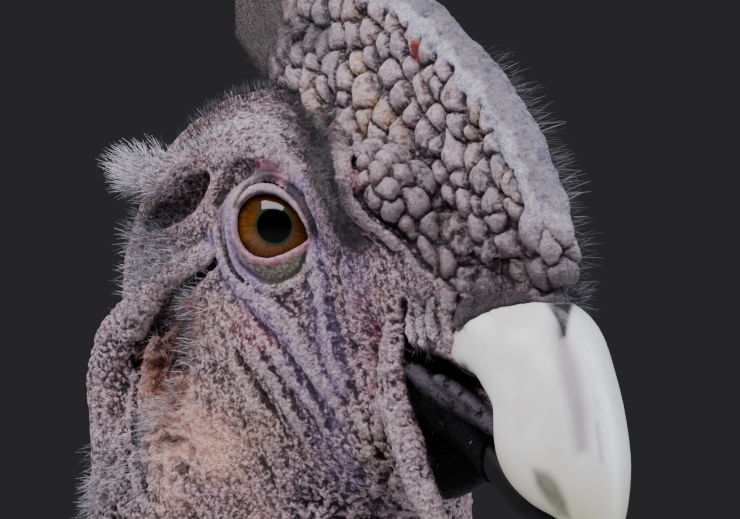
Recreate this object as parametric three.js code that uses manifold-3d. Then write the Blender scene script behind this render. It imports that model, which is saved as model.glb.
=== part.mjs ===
// A male Andean condor, standing, at life size in millimetres. It faces -Y with +Z up.
import * as THREE from "three";
import { mergeVertices } from "three/addons/utils/BufferGeometryUtils.js";
import Module from "manifold-3d";

const wasm = await Module();
wasm.setup();

// Driving dimensions
const gap = 0.35; // kept between two pieces that touch
const headHeight = 885; // floor to the point midway between the eyes
const headReach = 205; // of that point in front of the legs
const headPitch = THREE.MathUtils.degToRad(10); // bill down
const eyeRadius = 10.5;
const eyeSpread = 20; // middle line to the centre of each eyeball
const eyeOpening = 8.1; // radius of the gap between the lids
const eyeTurn = THREE.MathUtils.degToRad(55); // of that gap, from straight ahead
const headFloor = -50; // height of the head's cut from the neck, in the head's frame
const neckFloor = 660; // height of the neck's cut from the torso
const ankle = new THREE.Vector3(86, 50, 138);
const sole = new THREE.Vector3(88, 8, 0);
const wingSlope = THREE.MathUtils.degToRad(38.5); // of the folded wing below the horizontal
const wingFront = new THREE.Vector3(0, -172, 572); // where the wing's middle line starts
const vaneThick = 0.8;
const tailRoot = new THREE.Vector3(0, 150, 302);
const tailSlope = THREE.MathUtils.degToRad(42);
const tailLength = 345;

const finish = (color, roughness, metalness = 0) =>
  new THREE.MeshStandardMaterial({ color, roughness, metalness });
const skinFinish = finish("#8c7673", 0.75);
const combFinish = finish("#7d6c6d", 0.55);
const hornFinish = finish("#e4dfd2", 0.3);
const cereFinish = finish("#2c2a2d", 0.5);
const eyeFinish = finish("#8a4f16", 0.1);
const downFinish = finish("#f1efea", 0.9);
const blackFinish = finish("#17171a", 0.6);
const silverFinish = finish("#55565a", 0.6);
const legFinish = finish("#4b4744", 0.7);
const clawFinish = finish("#222022", 0.4);

const vec = (x, y, z) => new THREE.Vector3(x, y, z);
const mix = THREE.MathUtils.lerp;

// A point given forward, up and out to the bird's left in the head's frame
function inHead(forward, up, out) {
  const ahead = forward * Math.cos(headPitch) + up * Math.sin(headPitch);
  const rise = up * Math.cos(headPitch) - forward * Math.sin(headPitch);
  return vec(out, -headReach - ahead, headHeight + rise);
}

function toHead(p) {
  const ahead = -headReach - p.y;
  const rise = p.z - headHeight;
  return [
    ahead * Math.cos(headPitch) - rise * Math.sin(headPitch),
    ahead * Math.sin(headPitch) + rise * Math.cos(headPitch),
    Math.abs(p.x),
  ];
}

// Closed solids from three.js geometry
function solidOf(geometry) {
  const bare = geometry.clone();
  bare.deleteAttribute("normal");
  bare.deleteAttribute("uv");
  const merged = mergeVertices(bare, 1e-3);
  return new wasm.Manifold(
    new wasm.Mesh({
      numProp: 3,
      vertProperties: merged.attributes.position.array,
      triVerts: new Uint32Array(merged.index.array),
    }),
  );
}

const join = (solids) => solids.reduce((all, next) => all.add(next));
const cut = (solid, ...others) => others.reduce((left, next) => left.subtract(next), solid);

function largest(solid) {
  const whole = solid.decompose();
  whole.sort((a, b) => b.volume() - a.volume());
  return whole[0];
}

function geometryOf(solid) {
  const mesh = solid.getMesh();
  const points = new Float32Array(mesh.numVert * 3);
  for (let i = 0; i < mesh.numVert; i++) {
    const from = i * mesh.numProp;
    points.set(mesh.vertProperties.subarray(from, from + 3), i * 3);
  }
  return new THREE.BufferGeometry()
    .setAttribute("position", new THREE.BufferAttribute(points, 3))
    .setIndex(new THREE.BufferAttribute(new Uint32Array(mesh.triVerts), 1));
}

// Short edges left by cuts are closed up
const tidied = (solid) => largest(solid.asOriginal().simplify(0.06));

// The same solid with its surface moved out, to leave a gap to what is cut with it
function swollen(solid, by = gap * 1.3) {
  const geometry = geometryOf(solid);
  geometry.computeVertexNormals();
  const points = geometry.attributes.position;
  const normals = geometry.attributes.normal;
  for (let i = 0; i < points.count; i++) {
    const normal = vec().fromBufferAttribute(normals, i);
    const point = vec().fromBufferAttribute(points, i).addScaledVector(normal, by);
    points.setXYZ(i, point.x, point.y, point.z);
  }
  return solidOf(geometry);
}

// The same solid on the other side of the middle plane
function mirrored(solid) {
  const geometry = geometryOf(solid);
  geometry.scale(-1, 1, 1);
  const corners = geometry.index.array;
  for (let i = 0; i < corners.length; i += 3) {
    [corners[i + 1], corners[i + 2]] = [corners[i + 2], corners[i + 1]];
  }
  return solidOf(geometry);
}

// A closed tube through rings of points, each end closed by a fan. A vane's upper and lower
// faces are split into triangles alike, so that they can't cross where it curves.
function tubeOf(rings, vane) {
  const sides = rings[0].length;
  const points = rings.flat();
  const corners = [];
  for (let i = 0; i + 1 < rings.length; i++) {
    for (let j = 0; j < sides; j++) {
      const a = i * sides + j;
      const b = i * sides + ((j + 1) % sides);
      if (vane && j >= sides / 2) corners.push(a, b, b + sides, a, b + sides, a + sides);
      else corners.push(a, b, a + sides, b, b + sides, a + sides);
    }
  }
  const middle = (ring) =>
    ring.reduce((sum, p) => sum.add(p), vec(0, 0, 0)).divideScalar(ring.length);
  const start = points.push(middle(rings[0])) - 1;
  const end = points.push(middle(rings.at(-1))) - 1;
  const last = (rings.length - 1) * sides;
  for (let j = 0; j < sides; j++) {
    const k = (j + 1) % sides;
    corners.push(start, k, j, end, last + j, last + k);
  }
  const geometry = new THREE.BufferGeometry().setFromPoints(points);
  geometry.setIndex(corners);
  return geometry;
}

function tube(rings, vane = false) {
  const made = solidOf(tubeOf(rings, vane));
  if (made.volume() > 0) return made;
  return solidOf(tubeOf(rings.map((ring) => [...ring].reverse()), vane));
}

// A smooth tapering fold or limb along a few points, round in section
function limb(path, radii, sides = 8, steps = 8, flat = 1) {
  const curve = new THREE.CatmullRomCurve3(path);
  const rings = [];
  let across = vec(1, 0, 0);
  for (let i = 0; i <= steps; i++) {
    const at = curve.getPoint(i / steps);
    const along = curve.getTangent(i / steps);
    across = across.clone().addScaledVector(along, -across.dot(along)).normalize();
    const upward = along.clone().cross(across);
    const place = (i / steps) * (radii.length - 1);
    const from = Math.min(Math.floor(place), radii.length - 2);
    const radius = mix(radii[from], radii[from + 1], place - from);
    rings.push(
      Array.from({ length: sides }, (_, j) => {
        const angle = (j / sides) * 2 * Math.PI;
        return at
          .clone()
          .addScaledVector(across, radius * Math.cos(angle))
          .addScaledVector(upward, radius * flat * Math.sin(angle));
      }),
    );
  }
  return tube(rings);
}

function ball(at, size, around = 10, rings = 6) {
  const geometry = new THREE.SphereGeometry(1, around, rings);
  geometry.scale(...size);
  geometry.translate(at.x, at.y, at.z);
  return solidOf(geometry);
}

// The skin as one smooth field, negative inside. Each form is an ellipsoid or a tapering limb.
function eggField(p, at, size) {
  const q = p.map((value, i) => value - at[i]);
  const near = Math.hypot(...q.map((value, i) => value / size[i]));
  const slope = Math.hypot(...q.map((value, i) => value / size[i] ** 2));
  return (near * (near - 1)) / Math.max(slope, 1e-6);
}

function coneField(p, a, ra, b, rb) {
  const ab = b.clone().sub(a);
  const t = THREE.MathUtils.clamp(p.clone().sub(a).dot(ab) / ab.lengthSq(), 0, 1);
  return p.distanceTo(a.clone().addScaledVector(ab, t)) - mix(ra, rb, t);
}

function blend(a, b, soft) {
  const near = Math.max(soft - Math.abs(a - b), 0) / soft;
  return Math.min(a, b) - (near * near * soft) / 4;
}

// Forms of the head: forward, up and out in its frame
const headForms = [
  { at: [-14, 0, 0], size: [41, 25, 28] }, // cranium
  { at: [-32, -16, 0], size: [25, 30, 30] }, // back of the head
  { at: [-2, -27, 10], size: [32, 24, 19] }, // cheek
  { at: [22, -5, 6], size: [26, 17, 14] }, // lore
  { at: [22, 9, 14], size: [15, 10, 12] }, // pad before the eye
  { at: [22, -38, 5], size: [33, 15, 17] }, // jowl
  { at: [-33, 4, 31], size: [9, 6.5, 7] }, // knob behind the brow
];
const neckJoint = inHead(-18, -62, 0);
const neckBends = [inHead(-16, -30, 0), neckJoint, vec(0, -152, 735), vec(0, -128, 632)];
const neckRadii = [30, 36, 35, 46];

function headField(p) {
  const q = toHead(p);
  return headForms.map((form) => eggField(q, form.at, form.size)).reduce((a, b) => blend(a, b, 7));
}

function neckField(p) {
  const runs = neckBends
    .slice(1)
    .map((b, i) => coneField(p, neckBends[i], neckRadii[i], b, neckRadii[i + 1]));
  return runs.reduce((a, b) => blend(a, b, 12));
}

// Forms of the torso, each an ellipsoid sloped down towards the tail
const torsoForms = [
  { at: [0, -12, 465], size: [120, 225, 108], slope: 38 }, // trunk
  { at: [0, -112, 528], size: [112, 108, 100], slope: 50 }, // breast
  { at: [0, 112, 370], size: [74, 118, 66], slope: 40 }, // rump
  { at: [0, -30, 385], size: [96, 112, 70], slope: 20 }, // belly
];

function torsoField(p) {
  const parts = torsoForms.map(({ at, size, slope }) => {
    const turn = THREE.MathUtils.degToRad(slope);
    const y = p.y - at[1];
    const z = p.z - at[2];
    const along = y * Math.cos(turn) - z * Math.sin(turn);
    const over = y * Math.sin(turn) + z * Math.cos(turn);
    return eggField([p.x, along, over], [0, 0, 0], size);
  });
  return blend(
    parts.reduce((a, b) => blend(a, b, 30)),
    coneField(p, vec(0, -95, 560), 90, vec(0, -140, 675), 52),
    40,
  );
}

const skinField = (p) => blend(headField(p), neckField(p), 14);

// The surface where a field is zero, seen from a spine: one ring of rays to each step. The spine
// runs out of the body at both ends and is trimmed to it.
function skinOver(field, spine, steps, sides, spread = (t) => t) {
  const curve = new THREE.CatmullRomCurve3(spine);
  const side = vec(1, 0, 0);
  const start = trimmed(field, curve, 0);
  const end = trimmed(field, curve, 1);
  const rings = [];
  for (let i = 0; i <= steps; i++) {
    const t = mix(start, end, spread(i / steps));
    const from = curve.getPoint(t);
    const over = curve.getTangent(t).cross(side).normalize();
    rings.push(
      Array.from({ length: sides }, (_, j) => {
        const angle = (j / sides) * 2 * Math.PI;
        const ray = side
          .clone()
          .multiplyScalar(Math.cos(angle))
          .addScaledVector(over, Math.sin(angle));
        return from.clone().addScaledVector(ray, reachOf(field, from, ray));
      }),
    );
  }
  return tube(rings);
}

function trimmed(field, curve, end) {
  let outside = end;
  let inside = 0.5;
  if (field(curve.getPoint(end)) < 0) return end;
  for (let i = 0; i < 30; i++) {
    const middle = (outside + inside) / 2;
    if (field(curve.getPoint(middle)) < 0) inside = middle;
    else outside = middle;
  }
  return inside;
}

function reachOf(field, from, ray) {
  const stride = 3;
  let inside = 0.2;
  let outside = inside;
  while (outside < 400 && field(from.clone().addScaledVector(ray, outside)) < 0) {
    inside = outside;
    outside += stride;
  }
  for (let i = 0; i < 14; i++) {
    const middle = (inside + outside) / 2;
    if (field(from.clone().addScaledVector(ray, middle)) < 0) inside = middle;
    else outside = middle;
  }
  return Math.max(inside, 0.2);
}

const easeEnds = (t) => (1 - Math.cos(t * Math.PI)) / 2;

// Half width and the upper and lower lines of the bill, in the head's middle plane
const billStations = [
  { top: [56.5, -3.5], low: [56.5, -22.5], half: 12.4 },
  { top: [63, -3.6], low: [60.5, -26], half: 12.8 },
  { top: [70, -5.5], low: [65, -31], half: 13.2 },
  { top: [76.5, -11.5], low: [69.5, -36.5], half: 12.8 },
  { top: [82, -20], low: [74, -39.5], half: 11.8 },
  { top: [86, -29.5], low: [79.5, -41.5], half: 10.2 },
  { top: [89.5, -39], low: [85, -44], half: 7.4 },
  { top: [92, -47.5], low: [89.3, -49], half: 4.2 },
  { top: [92.6, -53.5], low: [91.8, -54], half: 0.8 },
];
const cereStations = [
  { top: [30, -1], low: [30, -22], half: 12 },
  { top: [42, -1.5], low: [42, -22], half: 14.6 },
  { top: [50, -2.5], low: [50, -22.2], half: 13.4 },
  { top: [56.1, -3.5], low: [56.1, -22.5], half: 12.4 },
];
const mandibleStations = [
  { top: [30, -24], low: [30, -33], half: 11 },
  { top: [44, -23.6], low: [44, -34.5], half: 12.6 },
  { top: [55, -24.6], low: [55, -37], half: 11.4 },
  { top: [62, -30.2], low: [61, -41], half: 10.2 },
  { top: [66, -34.8], low: [65, -44.6], half: 9 },
  { top: [70, -38.8], low: [69, -47.2], half: 7.8 },
  { top: [76, -42.6], low: [75, -48.6], half: 5.6 },
  { top: [80.5, -45], low: [80, -47.4], half: 2.8 },
];

// A bill piece: rings that are boxy above and below, each from its top line to its low line
function billPiece(stations, grow = 0, sides = 14) {
  const rings = stations.map(({ top, low, half }, i) => {
    const middle = [(top[0] + low[0]) / 2, (top[1] + low[1]) / 2];
    const tall = Math.hypot(top[0] - low[0], top[1] - low[1]) / 2;
    const lean = [(top[0] - low[0]) / (2 * tall), (top[1] - low[1]) / (2 * tall)];
    const push = i === 0 ? -grow : i === stations.length - 1 ? grow : 0;
    return Array.from({ length: sides }, (_, j) => {
      const angle = (j / sides) * 2 * Math.PI;
      const c = Math.cos(angle);
      const s = Math.sin(angle);
      const wide = Math.sign(c) * Math.abs(c) ** 0.8 * (half + grow);
      const high = Math.sign(s) * Math.abs(s) ** 0.85 * (tall + grow);
      return inHead(
        middle[0] + lean[0] * high + lean[1] * push,
        middle[1] + lean[1] * high - lean[0] * push,
        wide,
      );
    });
  });
  return tube(rings);
}

// The comb: its ridge from the bill back to the hanging lobe, and the line where it meets the head
const combRidge = [
  [69, -5],
  [71.5, 2],
  [69, 11],
  [64, 18],
  [56, 26],
  [46, 34],
  [32, 41.5],
  [14, 48],
  [-6, 52],
  [-26, 52],
  [-42, 47],
  [-52, 39],
];
const combFoot = [
  [62, -8],
  [56, -9],
  [48, -8.5],
  [40, -6],
  [32, -1],
  [24, 4],
  [14, 10],
  [5, 17],
  [-8, 23],
  [-22, 25],
  [-36, 26],
  [-48, 30],
];
const combFootHalf = [3, 8, 10.5, 11, 11, 11, 11.5, 12, 12, 10, 7, 4];
const combRidgeHalf = [2, 4, 4.5, 4.2, 4, 3.8, 3.6, 3.4, 3.2, 3, 2.6, 2];

function combCore() {
  const sides = 10;
  const rings = combRidge.map((ridge, i) => {
    const foot = combFoot[i];
    return Array.from({ length: sides }, (_, j) => {
      const angle = (j / sides) * 2 * Math.PI;
      const rise = (Math.sin(angle) + 1) / 2;
      const half = mix(combFootHalf[i], combRidgeHalf[i], rise ** 0.8) * Math.cos(angle) * 1.15;
      return inHead(mix(foot[0], ridge[0], rise), mix(foot[1], ridge[1], rise), half);
    });
  });
  return tube(rings);
}

// Bulbs in rows over both sides of the comb
function combBulbs() {
  const bulbs = [];
  const rows = [0.22, 0.5, 0.76];
  for (const side of [-1, 1]) {
    rows.forEach((rise, row) => {
      for (let i = 1 + (row % 2) * 0.5; i < combRidge.length - 1.2; i += 1.45) {
        const from = Math.floor(i);
        const part = i - from;
        const along = (list) =>
          Array.isArray(list[0])
            ? list[from].map((v, k) => mix(v, list[from + 1][k], part))
            : mix(list[from], list[from + 1], part);
        const ridge = along(combRidge);
        const foot = along(combFoot);
        const half = mix(along(combFootHalf), along(combRidgeHalf), rise ** 0.8);
        const big = 4.6 - rise * 1.6 + Math.sin(i * 7.3 + row * 2.1) * 0.7;
        const at = inHead(
          mix(foot[0], ridge[0], rise),
          mix(foot[1], ridge[1], rise),
          side * half * 0.85,
        );
        const lump = new THREE.IcosahedronGeometry(big, 0);
        lump.rotateX(i * 2.4 + row);
        lump.scale(0.9, 1.1, 1);
        lump.translate(at.x, at.y, at.z);
        bulbs.push(solidOf(lump));
      }
    });
  }
  return bulbs;
}

// Folds of loose skin on one side of the head: each a path in the head's frame, and its radii
const headFolds = [
  {
    name: "brow",
    path: [[21, 9, 21], [9, 14, 24], [-6, 13, 26], [-18, 9, 27], [-31, 4, 31]],
    radii: [2, 3.4, 3.6, 3.2, 4],
  },
  {
    name: "fold behind the ear",
    path: [[-8, -5, 27], [-24, -15, 30], [-33, -25, 31], [-37, -38, 30], [-35, -49, 30]],
    radii: [2, 4, 5, 5, 4],
  },
  {
    name: "fold under the eye",
    path: [[-6, -8, 27], [3, -14, 26], [13, -24, 23], [22, -35, 20]],
    radii: [1.5, 2.4, 2.6, 1.5],
  },
  {
    name: "cheek fold",
    path: [[-2, -17, 28], [5, -28, 27], [12, -40, 23], [20, -46, 19]],
    radii: [1.4, 2.2, 2.4, 1.5],
  },
  {
    name: "edge of the gape",
    path: [[38, -9, 15], [41, -20, 16.5], [45, -30, 16], [50, -39, 12]],
    radii: [2, 3, 3.4, 3],
  },
];

// A frame along the gap between the lids: its middle, its way out and two directions across it
function eyeFrame(side) {
  const out = inHead(Math.cos(eyeTurn), 0, side * Math.sin(eyeTurn)).sub(inHead(0, 0, 0));
  const up = inHead(0, 1, 0).sub(inHead(0, 0, 0));
  return { centre: inHead(0, 0, side * eyeSpread), out, up, across: up.clone().cross(out) };
}

function lidRing(side, grow) {
  const { centre, out, up, across } = eyeFrame(side);
  const rim = new THREE.TorusGeometry(eyeOpening + 1.1, 2 + grow, 5, 12);
  rim.applyMatrix4(new THREE.Matrix4().makeBasis(across, up.clone().multiplyScalar(0.94), out));
  const at = centre.clone().addScaledVector(out, Math.sqrt(eyeRadius ** 2 - eyeOpening ** 2) * 0.9);
  rim.translate(at.x, at.y, at.z);
  return solidOf(rim);
}

// The head's flesh and folds, before anything is cut from it
function headMass(grow = 0) {
  const floor = (p) => headFloor + gap / 2 - toHead(p)[1];
  const spine = [inHead(-66, -12, 0), inHead(-20, -14, 0), inHead(15, -16, 0), inHead(66, -28, 0)];
  const flesh = skinOver((p) => Math.max(skinField(p), floor(p)), spine, 18, 18, easeEnds);
  const pieces = [grow ? swollen(flesh) : flesh];
  for (const side of [-1, 1]) {
    for (const { path, radii } of headFolds) {
      pieces.push(
        limb(
          path.map(([f, u, r]) => inHead(f, u, r * side)),
          radii.map((r) => r + grow),
          5,
          3,
        ),
      );
    }
    pieces.push(ball(inHead(-32, 4, 29 * side), [4.6 + grow, 6 + grow, 4.6 + grow], 7, 5));
    pieces.push(lidRing(side, grow));
  }
  return join(pieces);
}

function buildHead(...others) {
  const below = new THREE.BoxGeometry(160, 160, 60);
  below.rotateX(headPitch);
  const drop = inHead(0, headFloor + gap / 2 - 30, 0);
  below.translate(drop.x, drop.y, drop.z);
  const ears = [-1, 1].flatMap((side) => [
    ball(inHead(-15, -29, 31 * side), [5, 5.5, 8], 7, 4),
    ball(inHead(-20, -24, 33 * side), [3.5, 6, 7], 6, 4),
  ]);
  return largest(cut(headMass(), ...ears, ...others, solidOf(below)));
}

function eyeBalls(grow = 0) {
  return [-1, 1].map((side) => {
    const { centre } = eyeFrame(side);
    const radius = eyeRadius + grow;
    return ball(centre, [radius, radius, radius], 14, 9);
  });
}

function nostrilCut() {
  const slot = new THREE.CylinderGeometry(1, 1, 60, 8);
  slot.rotateZ(Math.PI / 2);
  slot.scale(1, 3.6, 1.8);
  slot.rotateX(-0.35);
  const at = inHead(50.5, -10.6, 0);
  slot.translate(at.x, at.y, at.z);
  return solidOf(slot);
}

function buildNeck() {
  const top = headFloor - gap / 2;
  const foot = neckFloor + gap / 2;
  const ripple = (p) => 1.3 * Math.sin(p.z / 4.6 + Math.sin(p.x / 16) + p.y / 30);
  const field = (p) => Math.max(skinField(p) + ripple(p), toHead(p)[1] - top, foot - p.z);
  const spine = [inHead(-18, top + 12, 0), vec(0, -160, 775), vec(0, -150, 725), vec(0, -132, foot - 12)];
  const flesh = skinOver(field, spine, 17, 16);
  const dewlap = limb(
    [inHead(32, -60, 0), inHead(28, -74, 0), inHead(18, -92, 0), inHead(10, -112, 0)],
    [5, 8, 7, 3],
    8,
    10,
    0.55,
  );
  const lid = new THREE.BoxGeometry(160, 160, 60);
  lid.rotateX(headPitch);
  const rise = inHead(0, top + 30, 0);
  lid.translate(rise.x, rise.y, rise.z);
  return largest(cut(join([flesh, dewlap]), solidOf(lid)));
}

function buildTorso() {
  const top = neckFloor - gap / 2;
  const spine = [
    vec(0, 235, 290),
    vec(0, 120, 365),
    vec(0, 0, 460),
    vec(0, -100, 560),
    vec(0, -138, neckFloor + 12),
  ];
  return skinOver((p) => Math.max(torsoField(p), p.z - top), spine, 14, 18, (t) => t ** 0.9);
}

// Legs of one side, out to the left
const kneeAt = vec(80, -62, 326);
const thighField = (p) =>
  blend(
    coneField(p, vec(60, -40, 385), 60, kneeAt.clone().lerp(ankle, 0.35), 48),
    coneField(p, kneeAt.clone().lerp(ankle, 0.3), 52, ankle.clone().lerp(kneeAt, 0.12), 27),
    20,
  );

function buildThigh() {
  const low = ankle.clone().lerp(kneeAt, 0.06);
  const field = (p) => Math.max(thighField(p), low.z - p.z);
  const spine = [vec(50, -74, 460), vec(76, -46, 342), vec(84, 2, 232), vec(low.x, low.y + 8, low.z - 14)];
  return skinOver(field, spine, 8, 12);
}

const toes = [
  { name: "inner", turn: -34, length: 78, radius: 9.5 },
  { name: "middle", turn: 4, length: 112, radius: 11 },
  { name: "outer", turn: 38, length: 76, radius: 9.5 },
  { name: "hind", turn: 168, length: 36, radius: 7.5 },
];

const toeWay = (toe) => {
  const turn = THREE.MathUtils.degToRad(toe.turn);
  return vec(Math.sin(turn), -Math.cos(turn), 0);
};

// A toe with its pads and raised scutes, flat under the sole
function toeSolid(toe) {
  const way = toeWay(toe);
  const side = vec(-way.y, way.x, 0);
  const steps = 7;
  const sides = 7;
  const rings = [];
  for (let i = 0; i <= steps; i++) {
    const t = i / steps;
    const scute = i % 2 ? 1.1 : 0;
    const pad = 1 + 0.1 * Math.cos(t * 3 * 2 * Math.PI);
    const radius = toe.radius * mix(1.1, 0.72, t) * pad;
    const lift = radius * 0.8 + Math.sin(t * Math.PI) * 2;
    const at = vec(sole.x, sole.y, lift).addScaledVector(way, toe.length * t);
    rings.push(
      Array.from({ length: sides }, (_, j) => {
        const angle = (j / sides) * 2 * Math.PI;
        const high = Math.sin(angle);
        const p = at
          .clone()
          .addScaledVector(side, radius * Math.cos(angle))
          .add(vec(0, 0, high * radius + (high > 0.4 ? scute : 0)));
        p.z = Math.max(p.z, 0);
        return p;
      }),
    );
  }
  return tube(rings);
}

function clawSolid(toe, footGrown) {
  const way = toeWay(toe);
  const start = toe.length - 2;
  const long = toe.radius * 2.5;
  const base = toe.radius * 0.56;
  const at = (t, z) => vec(sole.x, sole.y, z).addScaledVector(way, start + long * t);
  const points = [at(0, 7), at(0.4, 8), at(0.8, 4.4), at(1, 0.8)];
  const radii = [base, base * 0.85, base * 0.5, 0.4];
  const floor = new THREE.BoxGeometry(300, 400, 20);
  floor.translate(sole.x, sole.y, -10);
  return largest(cut(limb(points, radii, 6, 4), footGrown, solidOf(floor)));
}

function buildFoot() {
  const palm = ball(vec(sole.x, sole.y, 8), [18, 22, 17], 8, 5);
  const floor = new THREE.BoxGeometry(300, 400, 20);
  floor.translate(sole.x, sole.y, -10);
  return cut(join([palm, ...toes.map(toeSolid)]), solidOf(floor));
}

function buildShank() {
  const path = [
    ankle.clone().add(vec(0, 6, 26)),
    ankle,
    ankle.clone().lerp(sole, 0.45).add(vec(0, 2, 0)),
    vec(sole.x, sole.y + 3, 17),
  ];
  return limb(path, [13, 17, 12.5, 12, 16], 9, 8);
}

// The folded wing lies round the body's side. s runs back along it and q up its side from 0 to 1.
const wingWay = vec(0, Math.cos(wingSlope), -Math.sin(wingSlope));
const wingOver = vec(0, Math.sin(wingSlope), Math.cos(wingSlope));
const wingLow = THREE.MathUtils.degToRad(-34);
const wingHigh = THREE.MathUtils.degToRad(74);
const wingStops = [0, 70, 200, 340, 500, 650, 790];
const wingWide = [104, 131, 146, 136, 98, 58, 30];
const wingTall = [66, 106, 128, 112, 72, 42, 22];

// A smooth curve through values given at stops
function along(stops, values, s) {
  const last = stops.length - 1;
  const t = THREE.MathUtils.clamp(s, stops[0], stops[last]);
  const i = Math.min(
    stops.findLastIndex((stop) => stop <= t),
    last - 1,
  );
  const slope = (j) => {
    const a = Math.max(j - 1, 0);
    const b = Math.min(j + 1, last);
    return (values[b] - values[a]) / (stops[b] - stops[a]);
  };
  const width = stops[i + 1] - stops[i];
  const u = (t - stops[i]) / width;
  const rise = (values[i + 1] - values[i]) * u * u * (3 - 2 * u);
  return values[i] + rise + width * u * (1 - u) * (slope(i) * (1 - u) - slope(i + 1) * u);
}

function onWing(s, q, lift) {
  const angle = mix(wingLow, wingHigh, q);
  const wide = along(wingStops, wingWide, s);
  const tall = along(wingStops, wingTall, s);
  const at = wingFront
    .clone()
    .addScaledVector(wingWay, s)
    .add(vec(wide * Math.cos(angle), 0, 0))
    .addScaledVector(wingOver, tall * Math.sin(angle));
  const out = vec(Math.cos(angle) / wide, 0, 0)
    .addScaledVector(wingOver, Math.sin(angle) / tall)
    .normalize();
  return at.addScaledVector(out, lift);
}

// Rings at even steps along a vane, the first sunk in the core and the second just clear of it
const vaneWidths = [0.4, 0.86, 1, 0.94, 0.5];
const vaneSteps = (steps) => [0, ...Array.from({ length: steps }, (_, i) => mix(0.12, 1, i / (steps - 1)))];

function vaneWidth(t) {
  const place = t * (vaneWidths.length - 1);
  const from = Math.min(Math.floor(place), vaneWidths.length - 2);
  return mix(vaneWidths[from], vaneWidths[from + 1], place - from);
}

// One vane of a tier on the wing. Its place across is a share of the arc, so vanes that draw
// together keep the same step between them.
function wingVane(tier, i) {
  const share = i / (tier.count - 1);
  const between = (tier.q[1] - tier.q[0]) / (tier.count - 1);
  const middle = mix(...tier.q, share);
  const rings = vaneSteps(tier.steps).map((t) => {
    const lift = t === 0 ? -tier.sink : mix(tier.clear, tier.rise, (t - 0.12) / 0.88);
    const point = (edge, height) => {
      const spot = mix(...tier.s, share) + mix(...tier.long, share) * t;
      const arc = wingArc(spot);
      const q = middle + tier.drift * t + (edge * tier.wide * vaneWidth(t)) / (2 * arc);
      const part = (q - tier.q[0]) / (tier.q[1] - tier.q[0]);
      const s = mix(...tier.s, part) + mix(...tier.long, part) * t;
      const step = tier.step * ((middle + tier.drift * t - q) / between + 1.2);
      return onWing(s, q, lift + step + height);
    };
    const thick = vaneThick * (1 - 0.3 * t);
    const row = (height) => [-1, 0, 1].map((edge) => point(edge, height));
    return [...row(thick), ...row(0).reverse()];
  });
  return tube(rings, true);
}

const wingArc = (s) =>
  ((along(wingStops, wingWide, s) + along(wingStops, wingTall, s)) / 2) * (wingHigh - wingLow);

// Tiers of the folded wing, from the back of the hand forward to the wrist. s, q and long each
// give the tier's lowest and highest vane.
const wingTiers = [
  {
    name: "primaries",
    count: 7,
    s: [390, 385],
    q: [0.3, 0.76],
    long: [377, 270],
    rise: 1,
    wide: 36,
    drift: 0.04,
    steps: 4,
    step: 1.6,
  },
  {
    name: "secondaries",
    count: 9,
    s: [168, 250],
    q: [0.06, 0.94],
    long: [300, 335],
    rise: 9,
    wide: 48,
    drift: 0.02,
    steps: 3,
    step: 1.2,
  },
  {
    name: "greater coverts",
    count: 8,
    s: [112, 196],
    q: [0.07, 0.94],
    long: [140, 150],
    rise: 10,
    wide: 46,
    drift: 0.02,
    steps: 3,
    step: 1.2,
  },
  {
    name: "median coverts",
    count: 7,
    s: [66, 138],
    q: [0.08, 0.94],
    long: [98, 104],
    rise: 10,
    wide: 48,
    drift: 0.01,
    steps: 3,
    step: 1.2,
  },
  {
    name: "lesser coverts",
    count: 6,
    s: [26, 84],
    q: [0.12, 0.9],
    long: [74, 84],
    rise: 9,
    wide: 46,
    drift: 0.01,
    steps: 3,
    step: 1.2,
  },
].map((tier) => ({ ...tier, sink: 8, clear: 1.6 }));

// A slab of the wing's own curve between two lifts
function wingSlab(start, end, inner, outer, spread, count = 6, sides = 6) {
  const rings = [];
  for (let i = 0; i <= count; i++) {
    const t = i / count;
    const low = mix(spread[0], spread[1], t);
    const high = mix(spread[2], spread[3], t);
    const row = (lift) =>
      Array.from({ length: sides }, (_, j) =>
        onWing(mix(start, end, t), mix(low, high, j / (sides - 1)), lift),
      );
    rings.push([...row(outer), ...row(inner).reverse()]);
  }
  return tube(rings, true);
}

function buildWing() {
  const pieces = [wingSlab(12, 425, -13, -2, [0.04, 0.2, 1, 0.9])];
  for (const tier of wingTiers) {
    for (let i = 0; i < tier.count; i++) pieces.push(wingVane(tier, i));
  }
  return tidied(join(pieces));
}

// The tail: twelve vanes that fan a little, the middle pair on top
const tailWay = vec(0, Math.cos(tailSlope), -Math.sin(tailSlope));
const tailOver = vec(0, Math.sin(tailSlope), Math.cos(tailSlope));
const tailSpread = THREE.MathUtils.degToRad(14);

// Each vane of the tail lies a little under the one before, left and right by turns
function tailVane(i) {
  const side = i % 2 ? -1 : 1;
  const turn = (tailSpread * (Math.floor(i / 2) + 0.5) * side) / 6;
  const long = tailLength - i * 2.5;
  const level = 2 - 1.5 * i;
  const rings = vaneSteps(4).map((t) => {
    const half = 27 * vaneWidth(t);
    const sag = t * t * 14;
    const corner = (edge, height) =>
      tailRoot
        .clone()
        .addScaledVector(tailWay, 6 + long * t * Math.cos(turn) - edge * half * Math.sin(turn))
        .addScaledVector(tailOver, level + sag + height)
        .add(vec(long * t * Math.sin(turn) + edge * half * Math.cos(turn), 0, 0));
    return [corner(-1, vaneThick), corner(1, vaneThick), corner(1, 0), corner(-1, 0)];
  });
  return tube(rings, true);
}

function buildTail(torsoGrown) {
  const core = ball(tailRoot.clone().addScaledVector(tailWay, 14), [40, 44, 30], 10, 6);
  const pieces = [core];
  for (let i = 0; i < 12; i++) pieces.push(tailVane(i));
  return largest(cut(join(pieces), torsoGrown));
}

// The ruff: a round core and two tiers of downy locks that fall outward
const ruffAt = vec(0, -138, neckFloor - 4);
const ruffRadius = 62;

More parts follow.
